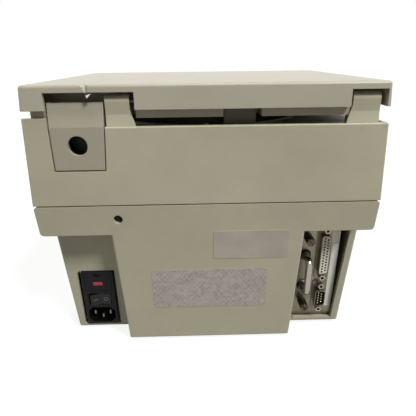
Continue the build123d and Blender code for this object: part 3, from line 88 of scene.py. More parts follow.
def rounded(part, edges, radius, segments):
    """Round some edges of a shape over."""
    bmesh.ops.bevel(part, geom=edges, offset=radius, segments=segments, profile=0.5,
                    affect="EDGES", material=-1)


def slab(width, length, height, corner=0.0, edge=0.0):
    """Block with rounded upright corners and a rounded upper edge."""
    part = bmesh.new()
    bmesh.ops.create_cube(part, size=1)
    bmesh.ops.scale(part, vec=(width, length, height), verts=part.verts)
    bmesh.ops.translate(part, vec=(0, 0, height / 2), verts=part.verts)
    if corner:
        upright = [e for e in part.edges if abs(e.verts[0].co.z - e.verts[1].co.z) > height / 2]
        rounded(part, upright, corner, 5)
    if edge:
        near_top = height * 0.999
        rounded(part, [e for e in part.edges if min(v.co.z for v in e.verts) > near_top], edge, 3)
    return part


def ring(inner, outer, height, steps):
    """Flat ring."""
    return turned([(inner, 0), (outer, 0), (outer, height), (inner, height)], steps, True)


def socket_screw(radius, height):
    """Pan-head screw with a hexagon recess."""
    recess = radius * 0.45
    part = turned([(0, 0), (radius, 0), (radius, height * 0.5), (radius * 0.8, height * 0.9),
                   (recess * 1.3, height), (recess, height * 0.92), (recess, height * 0.3),
                   (0, height * 0.2)], 24)
    side_angle = 60
    for vert in part.verts:
        reach = math.hypot(vert.co.x, vert.co.y)
        if abs(reach - recess) < 10 * same_spot:
            angle = math.degrees(math.atan2(vert.co.y, vert.co.x)) % side_angle - side_angle / 2
            shrink = math.cos(math.radians(side_angle / 2)) / math.cos(math.radians(angle))
            vert.co.x *= shrink
            vert.co.y *= shrink
    return part


def legend(text, size):
    """Raised characters, centred, with their foot on Z = 0."""
    curve = bpy.data.curves.new("legend", "FONT")
    curve.body = text
    curve.size = size
    curve.align_x = "CENTER"
    curve.align_y = "CENTER"
    curve.extrude = print_height / 2
    curve.resolution_u = 3
    holder = bpy.data.objects.new("legend", curve)
    scene.collection.objects.link(holder)
    graph = bpy.context.evaluated_depsgraph_get()
    mesh = bpy.data.meshes.new_from_object(holder.evaluated_get(graph))
    part = bmesh.new()
    part.from_mesh(mesh)
    bmesh.ops.translate(part, vec=(0, 0, print_height / 2), verts=part.verts)
    bmesh.ops.remove_doubles(part, verts=part.verts, dist=same_spot / 2)
    bpy.data.objects.remove(holder)
    bpy.data.curves.remove(curve)
    bpy.data.meshes.remove(mesh)
    return part


def arrow(size):
    """Small printed triangle that points along Y."""
    part = bmesh.new()
    bmesh.ops.create_cone(part, cap_ends=True, segments=3, radius1=size, radius2=size,
                          depth=print_height)
    bmesh.ops.rotate(part, matrix=Matrix.Rotation(math.pi / 2, 3, "Z"), verts=part.verts)
    bmesh.ops.translate(part, vec=(0, 0, print_height / 2), verts=part.verts)
    return part


# Faces that meet at less than this angle are shaded as one smooth surface
smooth_angle = math.radians(35)


def piece(name, parts, look, body):
    """Make one finished object from parts given with their places, and let it ride on a body."""
    whole = bmesh.new()
    for part, place in parts:
        bmesh.ops.transform(part, matrix=place @ Matrix.Scale(mm, 4), verts=part.verts)
        scrap = bpy.data.meshes.new("scrap")
        part.to_mesh(scrap)
        part.free()
        whole.from_mesh(scrap)
        bpy.data.meshes.remove(scrap)
    bmesh.ops.recalc_face_normals(whole, faces=whole.faces)
    mesh = bpy.data.meshes.new(name)
    whole.to_mesh(mesh)
    whole.free()
    mesh.polygons.foreach_set("use_smooth", [True] * len(mesh.polygons))
    mesh.set_sharp_from_angle(angle=smooth_angle)
    mesh.materials.append(look)
    made = bpy.data.objects.new(name, mesh)
    scene.collection.objects.link(made)
    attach(made, body)


# Colours, written as they look on a screen, and the screen's curve that leads to linear ones

screen_foot, foot_slope, screen_lift, screen_power = 0.04045, 12.92, 0.055, 2.4


def tint(red, green, blue):
    """A colour written as it looks on a screen, 0 to 255, as Blender's linear colour."""
    linear = []
    for value in (red / 255, green / 255, blue / 255):
        if value <= screen_foot:
            linear.append(value / foot_slope)
        else:
            linear.append(((value + screen_lift) / (1 + screen_lift)) ** screen_power)
    return (*linear, 1.0)


def shifted(tone, levels):
    """A tone made paler, or deeper, by so many levels."""
    return tint(*(max(0, min(255, value + levels)) for value in tone))


# Node work that finishes, floor and world share

# The RGBA sockets of a Mix node, which has others of the same names before them
mix_low, mix_high, mix_out = 6, 7, 2


def put(tree, value, socket):
    """Link a value that is a socket, or set a plain one."""
    if isinstance(value, bpy.types.NodeSocket):
        tree.links.new(value, socket)
    else:
        socket.default_value = value


def reckon(tree, operation, *values):
    """One step of arithmetic on sockets and numbers."""
    step = tree.nodes.new("ShaderNodeMath")
    step.operation = operation
    for value, socket in zip(values, step.inputs):
        put(tree, value, socket)
    return step.outputs["Value"]


class Finish:
    """A procedural finish, put together node by node on Object coordinates."""

    def __init__(self, name, stretch=(1, 1, 1), turned_by=(0, 0, 0)):
        self.material = bpy.data.materials.new(name)
        self.material.use_nodes = True
        self.tree = self.material.node_tree
        self.shader = self.tree.nodes["Principled BSDF"]
        coordinates = self.node("ShaderNodeTexCoord")
        self.place = self.node("ShaderNodeMapping", Vector=coordinates.outputs["Object"],
                               Scale=stretch, Rotation=turned_by).outputs["Vector"]

    def node(self, kind, **inputs):
        """Add a node with its inputs linked or set."""
        made = self.tree.nodes.new(kind)
        self.fill(made, inputs)
        return made

    def fill(self, node, inputs):
        """Link or set the inputs of a node; an underscore in a name stands for a space."""
        for key, value in inputs.items():
            put(self.tree, value, node.inputs[key.replace("_", " ")])

    def noise(self, size, detail=3.0, rough=0.55, distort=0.0):
        """Cloudy pattern whose blots are about a size across, in metres."""
        return self.node("ShaderNodeTexNoise", Vector=self.place, Scale=0.5 / size, Detail=detail,
                         Roughness=rough, Distortion=distort).outputs["Fac"]

    def span(self, factor, low, high, start=0.0, end=1.0):
        """Carry a factor that runs from start to end over to another range."""
        return self.node("ShaderNodeMapRange", Value=factor, From_Min=start, From_Max=end,
                         To_Min=low, To_Max=high).outputs["Result"]

    def blend(self, factor, low, high, start=0.0, end=1.0):
        """Mix two colours or sockets by a factor that runs from start to end."""
        share = self.span(factor, 0.0, 1.0, start, end)
        mix = self.tree.nodes.new("ShaderNodeMix")
        mix.data_type = "RGBA"
        self.tree.links.new(share, mix.inputs["Factor"])
        put(self.tree, low, mix.inputs[mix_low])
        put(self.tree, high, mix.inputs[mix_high])
        return mix.outputs[mix_out]

    def soft_edges(self, radius):
        """Normals rounded over at edges."""
        bevel = self.node("ShaderNodeBevel", Radius=radius)
        bevel.samples = 6
        return bevel.outputs["Normal"]

    def edge_mask(self, soft):
        """A mask that is one where rounded normals turn away from the surface."""
        surface = self.tree.nodes.new("ShaderNodeNewGeometry")
        match = self.tree.nodes.new("ShaderNodeVectorMath")
        match.operation = "DOT_PRODUCT"
        self.tree.links.new(soft, match.inputs[0])
        self.tree.links.new(surface.outputs["Normal"], match.inputs[1])
        turned_away, nearly_flat = 0.8, 0.99
        return self.span(match.outputs["Value"], 1, 0, turned_away, nearly_flat)

    def bumped(self, height, distance, normal=None):
        """Relief from a pattern, its distance in metres."""
        inputs = {"Height": height, "Distance": distance, "Strength": 1.0}
        if normal is not None:
            inputs["Normal"] = normal
        return self.node("ShaderNodeBump", **inputs).outputs["Normal"]

    def done(self, **inputs):
        """Fill the shader's own sockets and hand over the material."""
        self.fill(self.shader, inputs)
        return self.material


# Kinds of finish

# Most values of a noise pattern lie between these two
most = (0.3, 0.7)

# A wave texture of this scale has bands one metre apart
wave_unit = 0.31

# The fine crack on the lid's top: its X at Y = 0, how far it leans to +X for each step to the
# rear, half its width, the Y of its front end, and a height just under the top
crack_x, crack_lean, crack_half = 78.6 * mm, 0.02, 0.3 * mm
crack_front, below_lid_top = 84 * mm, 220 * mm


def hairline(look, colour, tone):
    """Fine crack that runs forward over the lid's top from the break in its rim."""
    sides = look.node("ShaderNodeSeparateXYZ", Vector=look.place).outputs
    foot = reckon(look.tree, "MULTIPLY_ADD", sides["Y"], -crack_lean, sides["X"])
    near = reckon(look.tree, "COMPARE", foot, crack_x, crack_half)
    behind = reckon(look.tree, "GREATER_THAN", sides["Y"], crack_front)
    on_top = reckon(look.tree, "GREATER_THAN", sides["Z"], below_lid_top)
    rear_top = reckon(look.tree, "MULTIPLY", behind, on_top)
    line = reckon(look.tree, "MULTIPLY", near, rear_top)
    return look.blend(line, colour, tint(*tone))


def moulded(name, tone, spread=7, edge_highlight_and_wear=14, rough=(0.42, 0.56), relief=0.012 * mm,
            edge=0.45 * mm, cast=(0, 0, 0), gloss=0.5, crack=None):
    """Moulded plastic: cloudy tone, fine spark grain, and edges painted paler as painted
    highlight and wear.
    """
    blot, grain = 45 * mm, 0.5 * mm
    look = Finish(name)
    deep = tint(*(value - spread + tinge for value, tinge in zip(tone, cast)))
    pale = tint(*(min(255, value + spread - tinge) for value, tinge in zip(tone, cast)))
    cloud = look.noise(blot, 4, 0.6)
    colour = look.blend(cloud, deep, pale, 0.32, 0.68)
    scuff = look.noise(blot / 6, 5, 0.75)
    colour = look.blend(scuff, colour, shifted(tone, -2 * spread), 0.62, 0.95)
    if crack:
        colour = hairline(look, colour, crack)
    soft = look.soft_edges(edge)
    # Rounded edges are painted paler: a painted highlight where light would catch them, together
    # with wear.
    colour = look.blend(look.edge_mask(soft), colour, shifted(tone, edge_highlight_and_wear), 0.0, 1.6)
    bump = look.bumped(look.noise(grain, 2, 0.5), relief, soft)
    return look.done(Base_Color=colour, Roughness=look.span(cloud, *rough, *most), Normal=bump,
                     Specular_IOR_Level=gloss)


def metal(name, tone, rough, spread, stain=None, relief=0.004 * mm, stretch=(1, 1, 1)):
    """Bare or plated metal with brushed or cloudy variation."""
    blot, stain_blot, brush, edge = 9 * mm, 14 * mm, 0.4 * mm, 0.2 * mm
    look = Finish(name, stretch)
    cloud = look.noise(blot, 4, 0.6)
    colour = look.blend(cloud, shifted(tone, -spread), shifted(tone, spread), *most)
    if stain:
        colour = look.blend(look.noise(stain_blot, 5, 0.7, 0.6), colour, tint(*stain), 0.5, 0.85)
    streaks = look.noise(brush, 3, 0.6)
    bump = look.bumped(streaks, relief, look.soft_edges(edge))
    return look.done(Base_Color=colour, Metallic=1.0, Normal=bump,
                     Roughness=look.span(streaks, *rough, *most))


def speckled(name, tone, fleck, rough, size=0.9 * mm, relief=0.01 * mm, gloss=0.5):
    """A tone with flecks of another, for rubber, film, paper and painted parts."""
    blot, edge = 16 * mm, 0.2 * mm
    shade = tint(*(int(value * 0.86) for value in tone))
    look = Finish(name)
    spots = look.noise(size, 3, 0.65)
    colour = look.blend(spots, tint(*tone), tint(*fleck), 0.62, 0.74)
    cloud = look.noise(blot, 3, 0.6)
    colour = look.blend(cloud, colour, shade, 0.45, 0.95)
    return look.done(Base_Color=colour, Specular_IOR_Level=gloss,
                     Roughness=look.span(cloud, *rough, *most),
                     Normal=look.bumped(spots, relief, look.soft_edges(edge)))


def circuit_board(name, turned_by):
    """Green board with pale tracks and solder dots, seen along its own plane."""
    track_field, dot_pitch = 22 * mm, 5.5 * mm
    board_deep, board_pale, track = tint(28, 84, 52), tint(44, 110, 70), tint(112, 148, 84)
    solder = tint(196, 190, 172)
    look = Finish(name, turned_by=turned_by)
    tracks = look.node("ShaderNodeTexBrick", Vector=look.place, Scale=1.0 / track_field,
                       Mortar_Size=0.02, Brick_Width=0.55, Row_Height=0.11, Bias=0.0,
                       Mortar_Smooth=0.1)
    mask = look.noise(11 * mm, 2, 0.5)
    base = look.blend(look.noise(18 * mm, 4, 0.6), board_deep, board_pale, *most)
    lines = look.blend(tracks.outputs["Fac"], base, track, 0.4, 0.6)
    colour = look.blend(mask, base, lines, 0.48, 0.52)
    dots = look.node("ShaderNodeTexVoronoi", Vector=look.place, Scale=1 / dot_pitch,
                     Randomness=0.55)
    colour = look.blend(dots.outputs["Distance"], solder, colour, 0.09, 0.11)
    return look.done(Base_Color=colour, Roughness=look.span(mask, 0.3, 0.48, *most),
                     Normal=look.bumped(tracks.outputs["Fac"], 0.03 * mm))


def laminated(name, tone, gap, pitch):
    """Stacked sheets of iron: even bands of two tones."""
    look = Finish(name)
    bands = look.node("ShaderNodeTexWave", Vector=look.place, Scale=wave_unit / pitch,
                      Distortion=0.15)
    bands.bands_direction = "Z"
    colour = look.blend(bands.outputs["Fac"], tint(*gap), tint(*tone), 0.1, 0.6)
    colour = look.blend(look.noise(9 * mm, 3, 0.6), colour, tint(*gap), 0.6, 1.4)
    return look.done(Base_Color=colour, Roughness=look.span(bands.outputs["Fac"], 0.55, 0.35),
                     Normal=look.bumped(bands.outputs["Fac"], 0.1 * mm))


def liquid_display(name):
    """Grey-green display glass with two rows of faint character cells."""
    cell_field = 8.4 * mm
    glass_deep, glass_pale, cell = tint(118, 132, 96), tint(134, 148, 108), tint(110, 124, 90)
    look = Finish(name, turned_by=(-slope_tilt, 0, 0))
    cells = look.node("ShaderNodeTexBrick", Vector=look.place, Scale=1.0 / cell_field,
                      Mortar_Size=0.05, Brick_Width=0.5, Row_Height=0.86, Bias=0.0,
                      Mortar_Smooth=0.2)
    cells.offset = 0.0
    glass = look.blend(look.noise(22 * mm, 3, 0.5), glass_deep, glass_pale, *most)
    colour = look.blend(cells.outputs["Fac"], cell, glass, 0.2, 0.8)
    return look.done(Base_Color=colour, Roughness=look.span(cells.outputs["Fac"], 0.12, 0.2))


def lattice_label(name, ground, line):
    """Metallised label with a fine slanted lattice and mottling."""
    pitch, blot, lean, mottle_lift = 3.2 * mm, 3.4 * mm, 38, 34
    look = Finish(name, turned_by=(math.radians(90), 0, 0))
    nets = []
    for angle in (lean, -lean):
        slant = look.node("ShaderNodeMapping", Vector=look.place,
                          Rotation=(0, 0, math.radians(angle)))
        wave = look.node("ShaderNodeTexWave", Vector=slant.outputs["Vector"],
                         Scale=wave_unit / pitch, Distortion=2.6, Detail_Scale=0.8)
        nets.append(look.span(wave.outputs["Fac"], 0, 1, 0.75, 0.95))
    net = reckon(look.tree, "MAXIMUM", *nets)
    mottle = look.noise(blot, 5, 0.7, 1.2)
    colour = look.blend(mottle, tint(*ground), shifted(ground, mottle_lift), 0.38, 0.66)
    colour = look.blend(net, colour, tint(*line), 0.0, 2.8)
    return look.done(Base_Color=colour, Specular_IOR_Level=0.6, Metallic=0.15,
                     Roughness=look.span(mottle, 0.34, 0.5, *most),
                     Normal=look.bumped(mottle, 0.006 * mm))


def clear(name, tone, alpha):
    """Clear pane that lets what lies behind it show, with a faint smear."""
    look = Finish(name)
    smear = look.noise(12 * mm, 4, 0.7)
    colour = look.blend(smear, tint(*tone), shifted(tone, 12), *most)
    look.material.surface_render_method = "BLENDED"
    return look.done(Base_Color=colour, Alpha=alpha,
                     Roughness=look.span(smear, 0.04, 0.12, *most))


def cracked(name, lit, shade, middle, width):
    """A break in pale plastic: painted light on one flank and painted shade on the other."""
    look = Finish(name)
    sides = look.node("ShaderNodeSeparateXYZ", Vector=look.place)
    painted_flanks = look.blend(sides.outputs["X"], tint(*shade), tint(*lit), middle - width,
                       middle + width)
    crumbs = look.noise(0.9 * mm, 4, 0.7)
    colour = look.blend(crumbs, painted_flanks, tint(*lit), 0.45, 1.1)
    return look.done(Base_Color=colour, Roughness=look.span(crumbs, 0.5, 0.8),
                     Normal=look.bumped(crumbs, 0.08 * mm))


# Plastics

casing = moulded("casing_plastic", (180, 176, 153), cast=(0, 0, 1))
lid_skin = moulded("lid_plastic", (177, 171, 155), spread=5, edge_highlight_and_wear=26, rough=(0.3, 0.42),
                   crack=(106, 100, 84))
cover_skin = moulded("cover_plastic", (164, 158, 141), spread=4)
pan_skin = moulded("pan_plastic", (168, 161, 141), spread=5)
shaded = moulded("switch_plastic", (74, 66, 48), spread=5, edge_highlight_and_wear=6)
soot = moulded("black_plastic", (15, 15, 16), spread=3, edge_highlight_and_wear=16, rough=(0.35, 0.5),
               relief=0.01 * mm, edge=0.3 * mm, gloss=0.14)
piano = moulded("rocker_plastic", (13, 13, 14), spread=3, edge_highlight_and_wear=22, rough=(0.16, 0.26),
                relief=0.003 * mm, edge=0.3 * mm, gloss=0.25)
ivory = moulded("socket_white", (240, 236, 224), spread=5, edge_highlight_and_wear=6, edge=0.15 * mm)
ruby = moulded("window_red", (188, 22, 26), spread=10, edge_highlight_and_wear=30, rough=(0.12, 0.2),
               relief=0.003 * mm, edge=0.2 * mm)

# Metals

zinc = metal("zinc_plate", (176, 176, 170), (0.34, 0.52), 10, stain=(150, 146, 128))
steel = metal("screw_steel", (168, 166, 160), (0.25, 0.42), 16)
chrome = metal("polished_chrome", (156, 153, 144), (0.05, 0.14), 6, relief=0.001 * mm)
nickel = metal("screw_nickel", (150, 144, 129), (0.22, 0.36), 18, stain=(96, 89, 74))
spun = metal("spun_aluminium", (140, 140, 137), (0.38, 0.52), 8)
slotted = metal("slotted_steel", (84, 79, 68), (0.24, 0.4), 14, stain=(56, 52, 43))
# Near-black steel for the case screws: painted shade of their recessed holes.
recess_shade_steel = metal("case_screw_steel_painted_shade", (36, 35, 33), (0.3, 0.5), 8)
panel_metal = metal("panel_metal", (124, 118, 102), (0.3, 0.46), 14, stain=(100, 91, 74),
                    relief=0.003 * mm, stretch=(1, 1, 0.12))
shell_metal = metal("shell_metal", (110, 104, 91), (0.3, 0.46), 12, stain=(84, 77, 64))
brass = metal("contact_metal", (214, 204, 176), (0.2, 0.35), 10)
gold = metal("gold_contacts", (212, 172, 92), (0.2, 0.32), 10)
collar_metal = metal("collar_metal", (70, 68, 64), (0.25, 0.4), 14)

# Rubber, film, print and paper

rubber = speckled("foot_rubber", (38, 37, 36), (66, 65, 62), (0.7, 0.9), relief=0.03 * mm,
                  gloss=0.25)
grey_rubber = speckled("seal_rubber", (66, 65, 63), (86, 85, 82), (0.7, 0.88),
                       relief=0.02 * mm, gloss=0.12)
film = speckled("overlay_film", (70, 78, 86), (82, 90, 98), (0.42, 0.55), size=0.5 * mm,
                relief=0.008 * mm)
key_pale = speckled("key_pale", (206, 204, 194), (216, 214, 205), (0.4, 0.52), size=0.5 * mm)
key_green = speckled("key_green", (74, 138, 92), (88, 152, 106), (0.4, 0.5), size=0.5 * mm)
key_red = speckled("key_red", (170, 62, 54), (184, 78, 68), (0.4, 0.5), size=0.5 * mm)
ink = speckled("print_ink", (40, 42, 46), (54, 56, 60), (0.5, 0.6), size=0.4 * mm)
pale_ink = speckled("pale_ink", (214, 214, 208), (200, 200, 195), (0.5, 0.6), size=0.4 * mm)
mark_grey = speckled("mark_grey", (112, 112, 110), (132, 132, 130), (0.45, 0.6), size=0.4 * mm)
strip_paper = speckled("strip_paper", (240, 238, 230), (226, 223, 213), (0.42, 0.6),
                       size=1.4 * mm)
plain_paper = speckled("plain_label", (184, 177, 165), (174, 166, 154), (0.45, 0.62),
                       size=1.2 * mm)
rating_film = lattice_label("rating_label", (144, 138, 130), (186, 182, 174))

# Boards, transformer, display, panes and the broken rim

board_up = circuit_board("board_flat", (0, 0, 0))
board_slope = circuit_board("board_sloping", (-slope_tilt, 0, 0))
board_side = circuit_board("board_upright", (0, math.radians(90), 0))
laminate = laminated("transformer_core", (92, 88, 84), (52, 50, 48), 0.7 * mm)
display = liquid_display("display_glass")
# The break's flanks are painted lit and shaded, one to each side of this X.
painted_break_skin = cracked("broken_plastic_painted_light_and_shade", (216, 212, 194), (112, 108, 90), 81.4 * mm, 0.6 * mm)
stressed = moulded("stressed_plastic", (240, 237, 224), spread=6, edge_highlight_and_wear=8)
pane = clear("window_pane", (150, 160, 150), 0.22)
fuse_pane = clear("fuse_glass", (200, 206, 204), 0.45)

# CAD nodes take the finish of their slot, unless they have one of their own

by_slot = {"casing": casing, "lid": lid_skin, "pan": pan_skin, "zinc": zinc, "steel": steel,
           "chrome": chrome, "aluminium": spun, "brass": brass, "rubber": rubber,
           "grey_rubber": grey_rubber, "black_plastic": soot, "black_gloss": piano,
           "white_plastic": ivory, "red_plastic": ruby, "overlay": film, "window": pane,
           "board": board_up, "winding": laminate, "label_silver": rating_film,
           "label_white": strip_paper, "fuse_glass": fuse_pane}
by_node = {"hinge_cover": cover_skin, "interlock_switch": shaded, "upper_label": plain_paper,
           "interface_panel": panel_metal, "bow_handle": chrome, "main_board": board_slope,
           "interface_board": board_side, "display_module": display, "jackscrews": nickel,
           "case_screws": recess_shade_steel, "captive_screw_upper": slotted,
           "captive_screw_lower": slotted, "parallel_shell": shell_metal,
           "serial_shell": shell_metal, "inlet_pins": shell_metal,
           "hinge_pin_left": collar_metal, "hinge_pin_right": collar_metal}
for subpart in frame["record"]["subparts"]:
    node = frame["nodes"][subpart["node"]]
    look = by_node.get(subpart["node"], by_slot[subpart["material_slot"]])
    node.data.materials.clear()
    node.data.materials.append(look)

# Keypad on the sloping front: pads, legends, lamps and a printed frame round the display

pad_height = 0.55
key_width, key_length, key_pitch = 16, 15, 20
keys_x, last_keys_x, keys_y = 32, 94, 33
digit_size, key_arrow, small_arrow = 8, 3.2, 2.2
print_foot = pad_height - sunk
arrow_drop = 0.6


def key_pad(width, length):
    """Raised pad in the keypad's film."""
    return slab(width, length, pad_height, 2.5, 0.35)


pads, legends = [], []
for row, labels in enumerate(("123", "456", "789", "-0.")):
    for column, label in enumerate(labels):
        spot = on_slope @ at(keys_x + key_pitch * column, keys_y - key_pitch * row, 0)
        pads.append((key_pad(key_width, key_length), spot))
        legends.append((legend(label, digit_size), spot @ at(0, 0, print_foot)))
for row, lean in ((0, 0), (1, 180)):
    spot = on_slope @ at(last_keys_x, keys_y - key_pitch * row, 0)
    pads.append((key_pad(key_width, key_length), spot))
    legends.append((arrow(key_arrow),
                    spot @ turn(lean, "Z") @ at(0, -arrow_drop, print_foot)))

# The tall key, marked with a ring and a bar
tall_key_y = -17
spot = on_slope @ at(last_keys_x, tall_key_y, 0)
pads.append((key_pad(key_width, key_length + key_pitch), spot))
legends.append((ring(3.4, 4.0, print_height, 40), spot @ at(0, 0, print_foot)))
legends.append((slab(0.7, 4.4, print_height, 0.2), spot @ at(0, 2.6, print_foot)))

# Four small keys under the display
small_keys_x, small_keys_y, small_key_pitch = -67.5, -9, 21
for column in range(4):
    spot = on_slope @ at(small_keys_x + small_key_pitch * column, small_keys_y, 0)
    pads.append((key_pad(17, 10), spot))
    legends.append((arrow(small_arrow), spot @ at(0, -0.4, print_foot)))
piece("keypad_pads", pads, key_pale, "housing")
piece("keypad_legends", legends, ink, "housing")

# Start and stop pads in a row with the lamps, and the display's printed frame
lowest_y, start_x, stop_x, first_lamp_x, lamp_pitch = -33, -63, -34, -8, 9
big_pad_height = 0.6
big_print_foot = big_pad_height - sunk
start_spot = on_slope @ at(start_x, lowest_y, 0)
stop_spot = on_slope @ at(stop_x, lowest_y, 0)
for name, look, spot in (("start_pad", key_green, start_spot), ("stop_pad", key_red, stop_spot)):
    piece(name, [(slab(24, 15, big_pad_height, 3, 0.4), spot)], look, "housing")
marks = [(arrow(key_arrow), start_spot @ turn(-90, "Z") @ at(0, -arrow_drop, big_print_foot)),
         (slab(5, 5, print_height, 0.4), stop_spot @ at(0, 0, big_print_foot))]
frame_x, frame_y, frame_width, frame_length, frame_line = -36, 22, 90, 36, 1
for side in (1, -1):
    marks.append((slab(frame_width, frame_line, print_height, 0.3),
                  on_slope @ at(frame_x, frame_y + side * frame_length / 2, 0)))
for side in (-1, 1):
    marks.append((slab(frame_line, frame_length + frame_line, print_height, 0.3),
                  on_slope @ at(frame_x + side * frame_width / 2, frame_y, 0)))
piece("panel_print", marks, pale_ink, "housing")
lamp_profile = [(0, 0), (2.2, 0), (2.2, 0.3), (1.5, 0.8), (0, 1.0)]
lamps = [(turned(lamp_profile, 24),
          on_slope @ at(first_lamp_x + lamp_pitch * step, lowest_y, 0)) for step in range(3)]
piece("panel_lamps", lamps, key_green, "housing")

# Chamber: numbers at the tube slots

tube_slots = 8
number_radius, number_size, rotor_face = 56, 7, 169 * mm
numbers = []
for index in range(tube_slots):
    aim = turn((0.5 - index) * 360 / tube_slots, "Z")
    spot = Matrix.Translation((0, rotor_y, rotor_face)) @ aim @ at(0, number_radius, 0)
    numbers.append((legend(str(index + 1), number_size), spot))
piece("tube_numbers", numbers, pale_ink, "rotor")

# Rocker marks: a bar on one half and a ring on the other

mark_height = 0.12
mark_reach, mark_y, half_lean, rocker_lean = 4.6, 5.43, 10.2, 7
rocker = at(99, 136.3, 34.2) @ turn(rocker_lean, "Z")
halves = []
for side, mark in ((1, slab(3.4, 0.55, mark_height, 0.2)),
                   (-1, ring(1.45, 1.95, mark_height, 32))):
    halves.append((mark, rocker @ at(side * mark_reach, mark_y, 0)
                   @ turn(side * half_lean, "Z") @ facing_rear))
piece("rocker_marks", halves, mark_grey, "rocker")

# Bow handle: dark ferrules over its two feet, each with a rolled lip

ferrule_profile = [(3.05, 0), (5.1, 0), (5.1, 0.9), (4.6, 1.5), (4.5, 2.9), (4.1, 3.5),
                   (3.05, 3.5)]
handle_x, panel_y, feet_z = -86.5, 135.3, (73.2, 41.0)
ferrules = [(turned(ferrule_profile, 40, True), at(handle_x, panel_y, foot_z) @ facing_rear)
            for foot_z in feet_z]
piece("handle_ferrules", ferrules, collar_metal, "interface_module")

# Dark discs at the mouths of the contacts in the 25-way socket, two rows of them, as painted
# shade in the contact holes

socket_middle, contact_pitch, socket_face = 75.3, 2.76, 142.0
shade_disc_profile = [(0, 0), (0.86, 0), (0.8, 0.1), (0, 0.06)]
mouth_shade_discs = []
for x, count in ((-100.88, 13), (-103.72, 12)):
    for step in range(count):
        height = socket_middle + contact_pitch * (step - (count - 1) / 2)
        mouth_shade_discs.append((turned(shade_disc_profile, 16), at(x, socket_face, height) @ facing_rear))
piece("parallel_mouth_shade", mouth_shade_discs, soot, "interface_module")

# Black cup behind the round access hole in the hinge cover, as painted shade inside its pocket

shade_cup = turned([(0, 0), (8.2, 0), (8.2, 8.6), (7.4, 8.6), (7.2, 0.8), (0, 0.6)], 48)
piece("access_shade_cup", [(shade_cup, at(92, 148.6, 179.6) @ facing_rear)], soot, "housing")

# Boards: chips with legs, and gold edge contacts on the interface board

chip_size, chip_height = 16.2, 2.55
legs_a_side, leg_pitch = 9, 1.6


def chips(place, spots):
    """Chip bodies and their legs at spots on a board's face."""
    bodies, legs = [], []
    dot_place = chip_size / 2 - 2.2
    for x, y in spots:
        spot = place @ at(x, y, 0)
        bodies.append((slab(chip_size, chip_size, chip_height, 0.3, 0.35), spot))
        bodies.append((turned([(0, 0), (0.9, 0), (0.9, 0.06), (0, 0.06)], 16),
                       spot @ at(-dot_place, dot_place, chip_height)))
        for side in range(4):
            for step in range(legs_a_side):
                along = (step - (legs_a_side - 1) / 2) * leg_pitch
                leg = spot @ turn(90 * side, "Z") @ at(along, chip_size / 2 + 0.5, 0)
                legs.append((slab(0.5, 1.5, 0.35, 0, 0.1), leg))
    return bodies, legs


# The interface board's face looks to +X: down is its X, and the rear its Y
card_face = Matrix(((0, 0, 1, -94.0 * mm), (0, 1, 0, 85.8 * mm), (-1, 0, 0, 56.6 * mm),
                    (0, 0, 0, 1)))
contacts, card_pitch = 20, 3.6
spots = [(row * 13, column * 26) for row in (-1, 1) for column in (-1, 0, 1)]
bodies, legs = chips(card_face, spots)
piece("interface_chips", bodies, soot, "interface_module")
for step in range(contacts):
    along = (step - (contacts - 1) / 2) * card_pitch
    legs.append((slab(2.4, 9, print_height), card_face @ at(along, -43.2, 0)))
piece("interface_contacts", legs, gold, "interface_module")

# The main board hangs under the sloping panel, its chips on its underside
below_slope = on_slope @ at(0, 0, -17.6) @ turn(180, "X")
spots = [(x * 26, y * 13) for x in (-1, 0, 1) for y in (-1, 1)]
bodies, legs = chips(below_slope, spots)
piece("main_board_chips", bodies, soot, "housing")
piece("main_board_legs", legs, gold, "housing")

# Power supply: sleeves of the capacitors

sleeve_profile = [(0, 0), (9.1, 0), (9.1, 25.8), (8.8, 26.4), (9.1, 27), (9.1, 27.8),
                  (8.6, 28.2), (7.6, 28.05), (0, 28.05)]
board_top = 12.1
sleeves = [(turned(sleeve_profile, 36), at(x, y, board_top))
           for x in (-43, -17) for y in (-69.5, -43.5)]
piece("capacitor_sleeves", sleeves, soot, "housing")

# Small screws of the deck flange and of the lid pan's underside

flange_radius, screw_inset, flange_z, pan_underside = 86.2, 1.9, 190, 198.1
flange = [(socket_screw(2.2, 1.3), Matrix.Translation((0, rotor_y, 0))
           @ turn(60 * index + 30, "Z") @ at(flange_radius - screw_inset, 0, flange_z))
          for index in range(6)]
piece("flange_screws", flange, steel, "housing")
pan_screws = [(socket_screw(2.4, 1.2), at(x, y, pan_underside) @ turn(180, "X"))
              for x in (-110, -40, 40, 110) for y in (-26, 130)]
piece("pan_screws", pan_screws, steel, "lid")

# The break in the lid's rear rim over the hinge cover, its flanks painted lit and shaded, and the
# flake that hangs from it

break_lift, break_thickness, flake_thickness = 0.05, 0.02, 0.7


def laid_on_lid(route):
    """Ribbon just over the lid's skin, through points of left X, right X, Y and Z."""
    skin = frame["nodes"]["lid_shell"]
    to_skin = skin.matrix_world.inverted()
    part = bmesh.new()
    bmesh.ops.create_grid(part, x_segments=1, y_segments=len(route) - 1, size=0.5)
    for vert in part.verts:
        left, right, y, z = route[round((vert.co.y + 0.5) * (len(route) - 1))]
        x = left if vert.co.x < 0 else right
        aim = to_skin @ Vector((x * mm, y * mm, z * mm))
        spot, normal = skin.closest_point_on_mesh(aim)[1:3]
        vert.co = (skin.matrix_world @ (spot + normal * break_lift * mm)) / mm
    bmesh.ops.solidify(part, geom=part.faces, thickness=break_thickness)
    return part


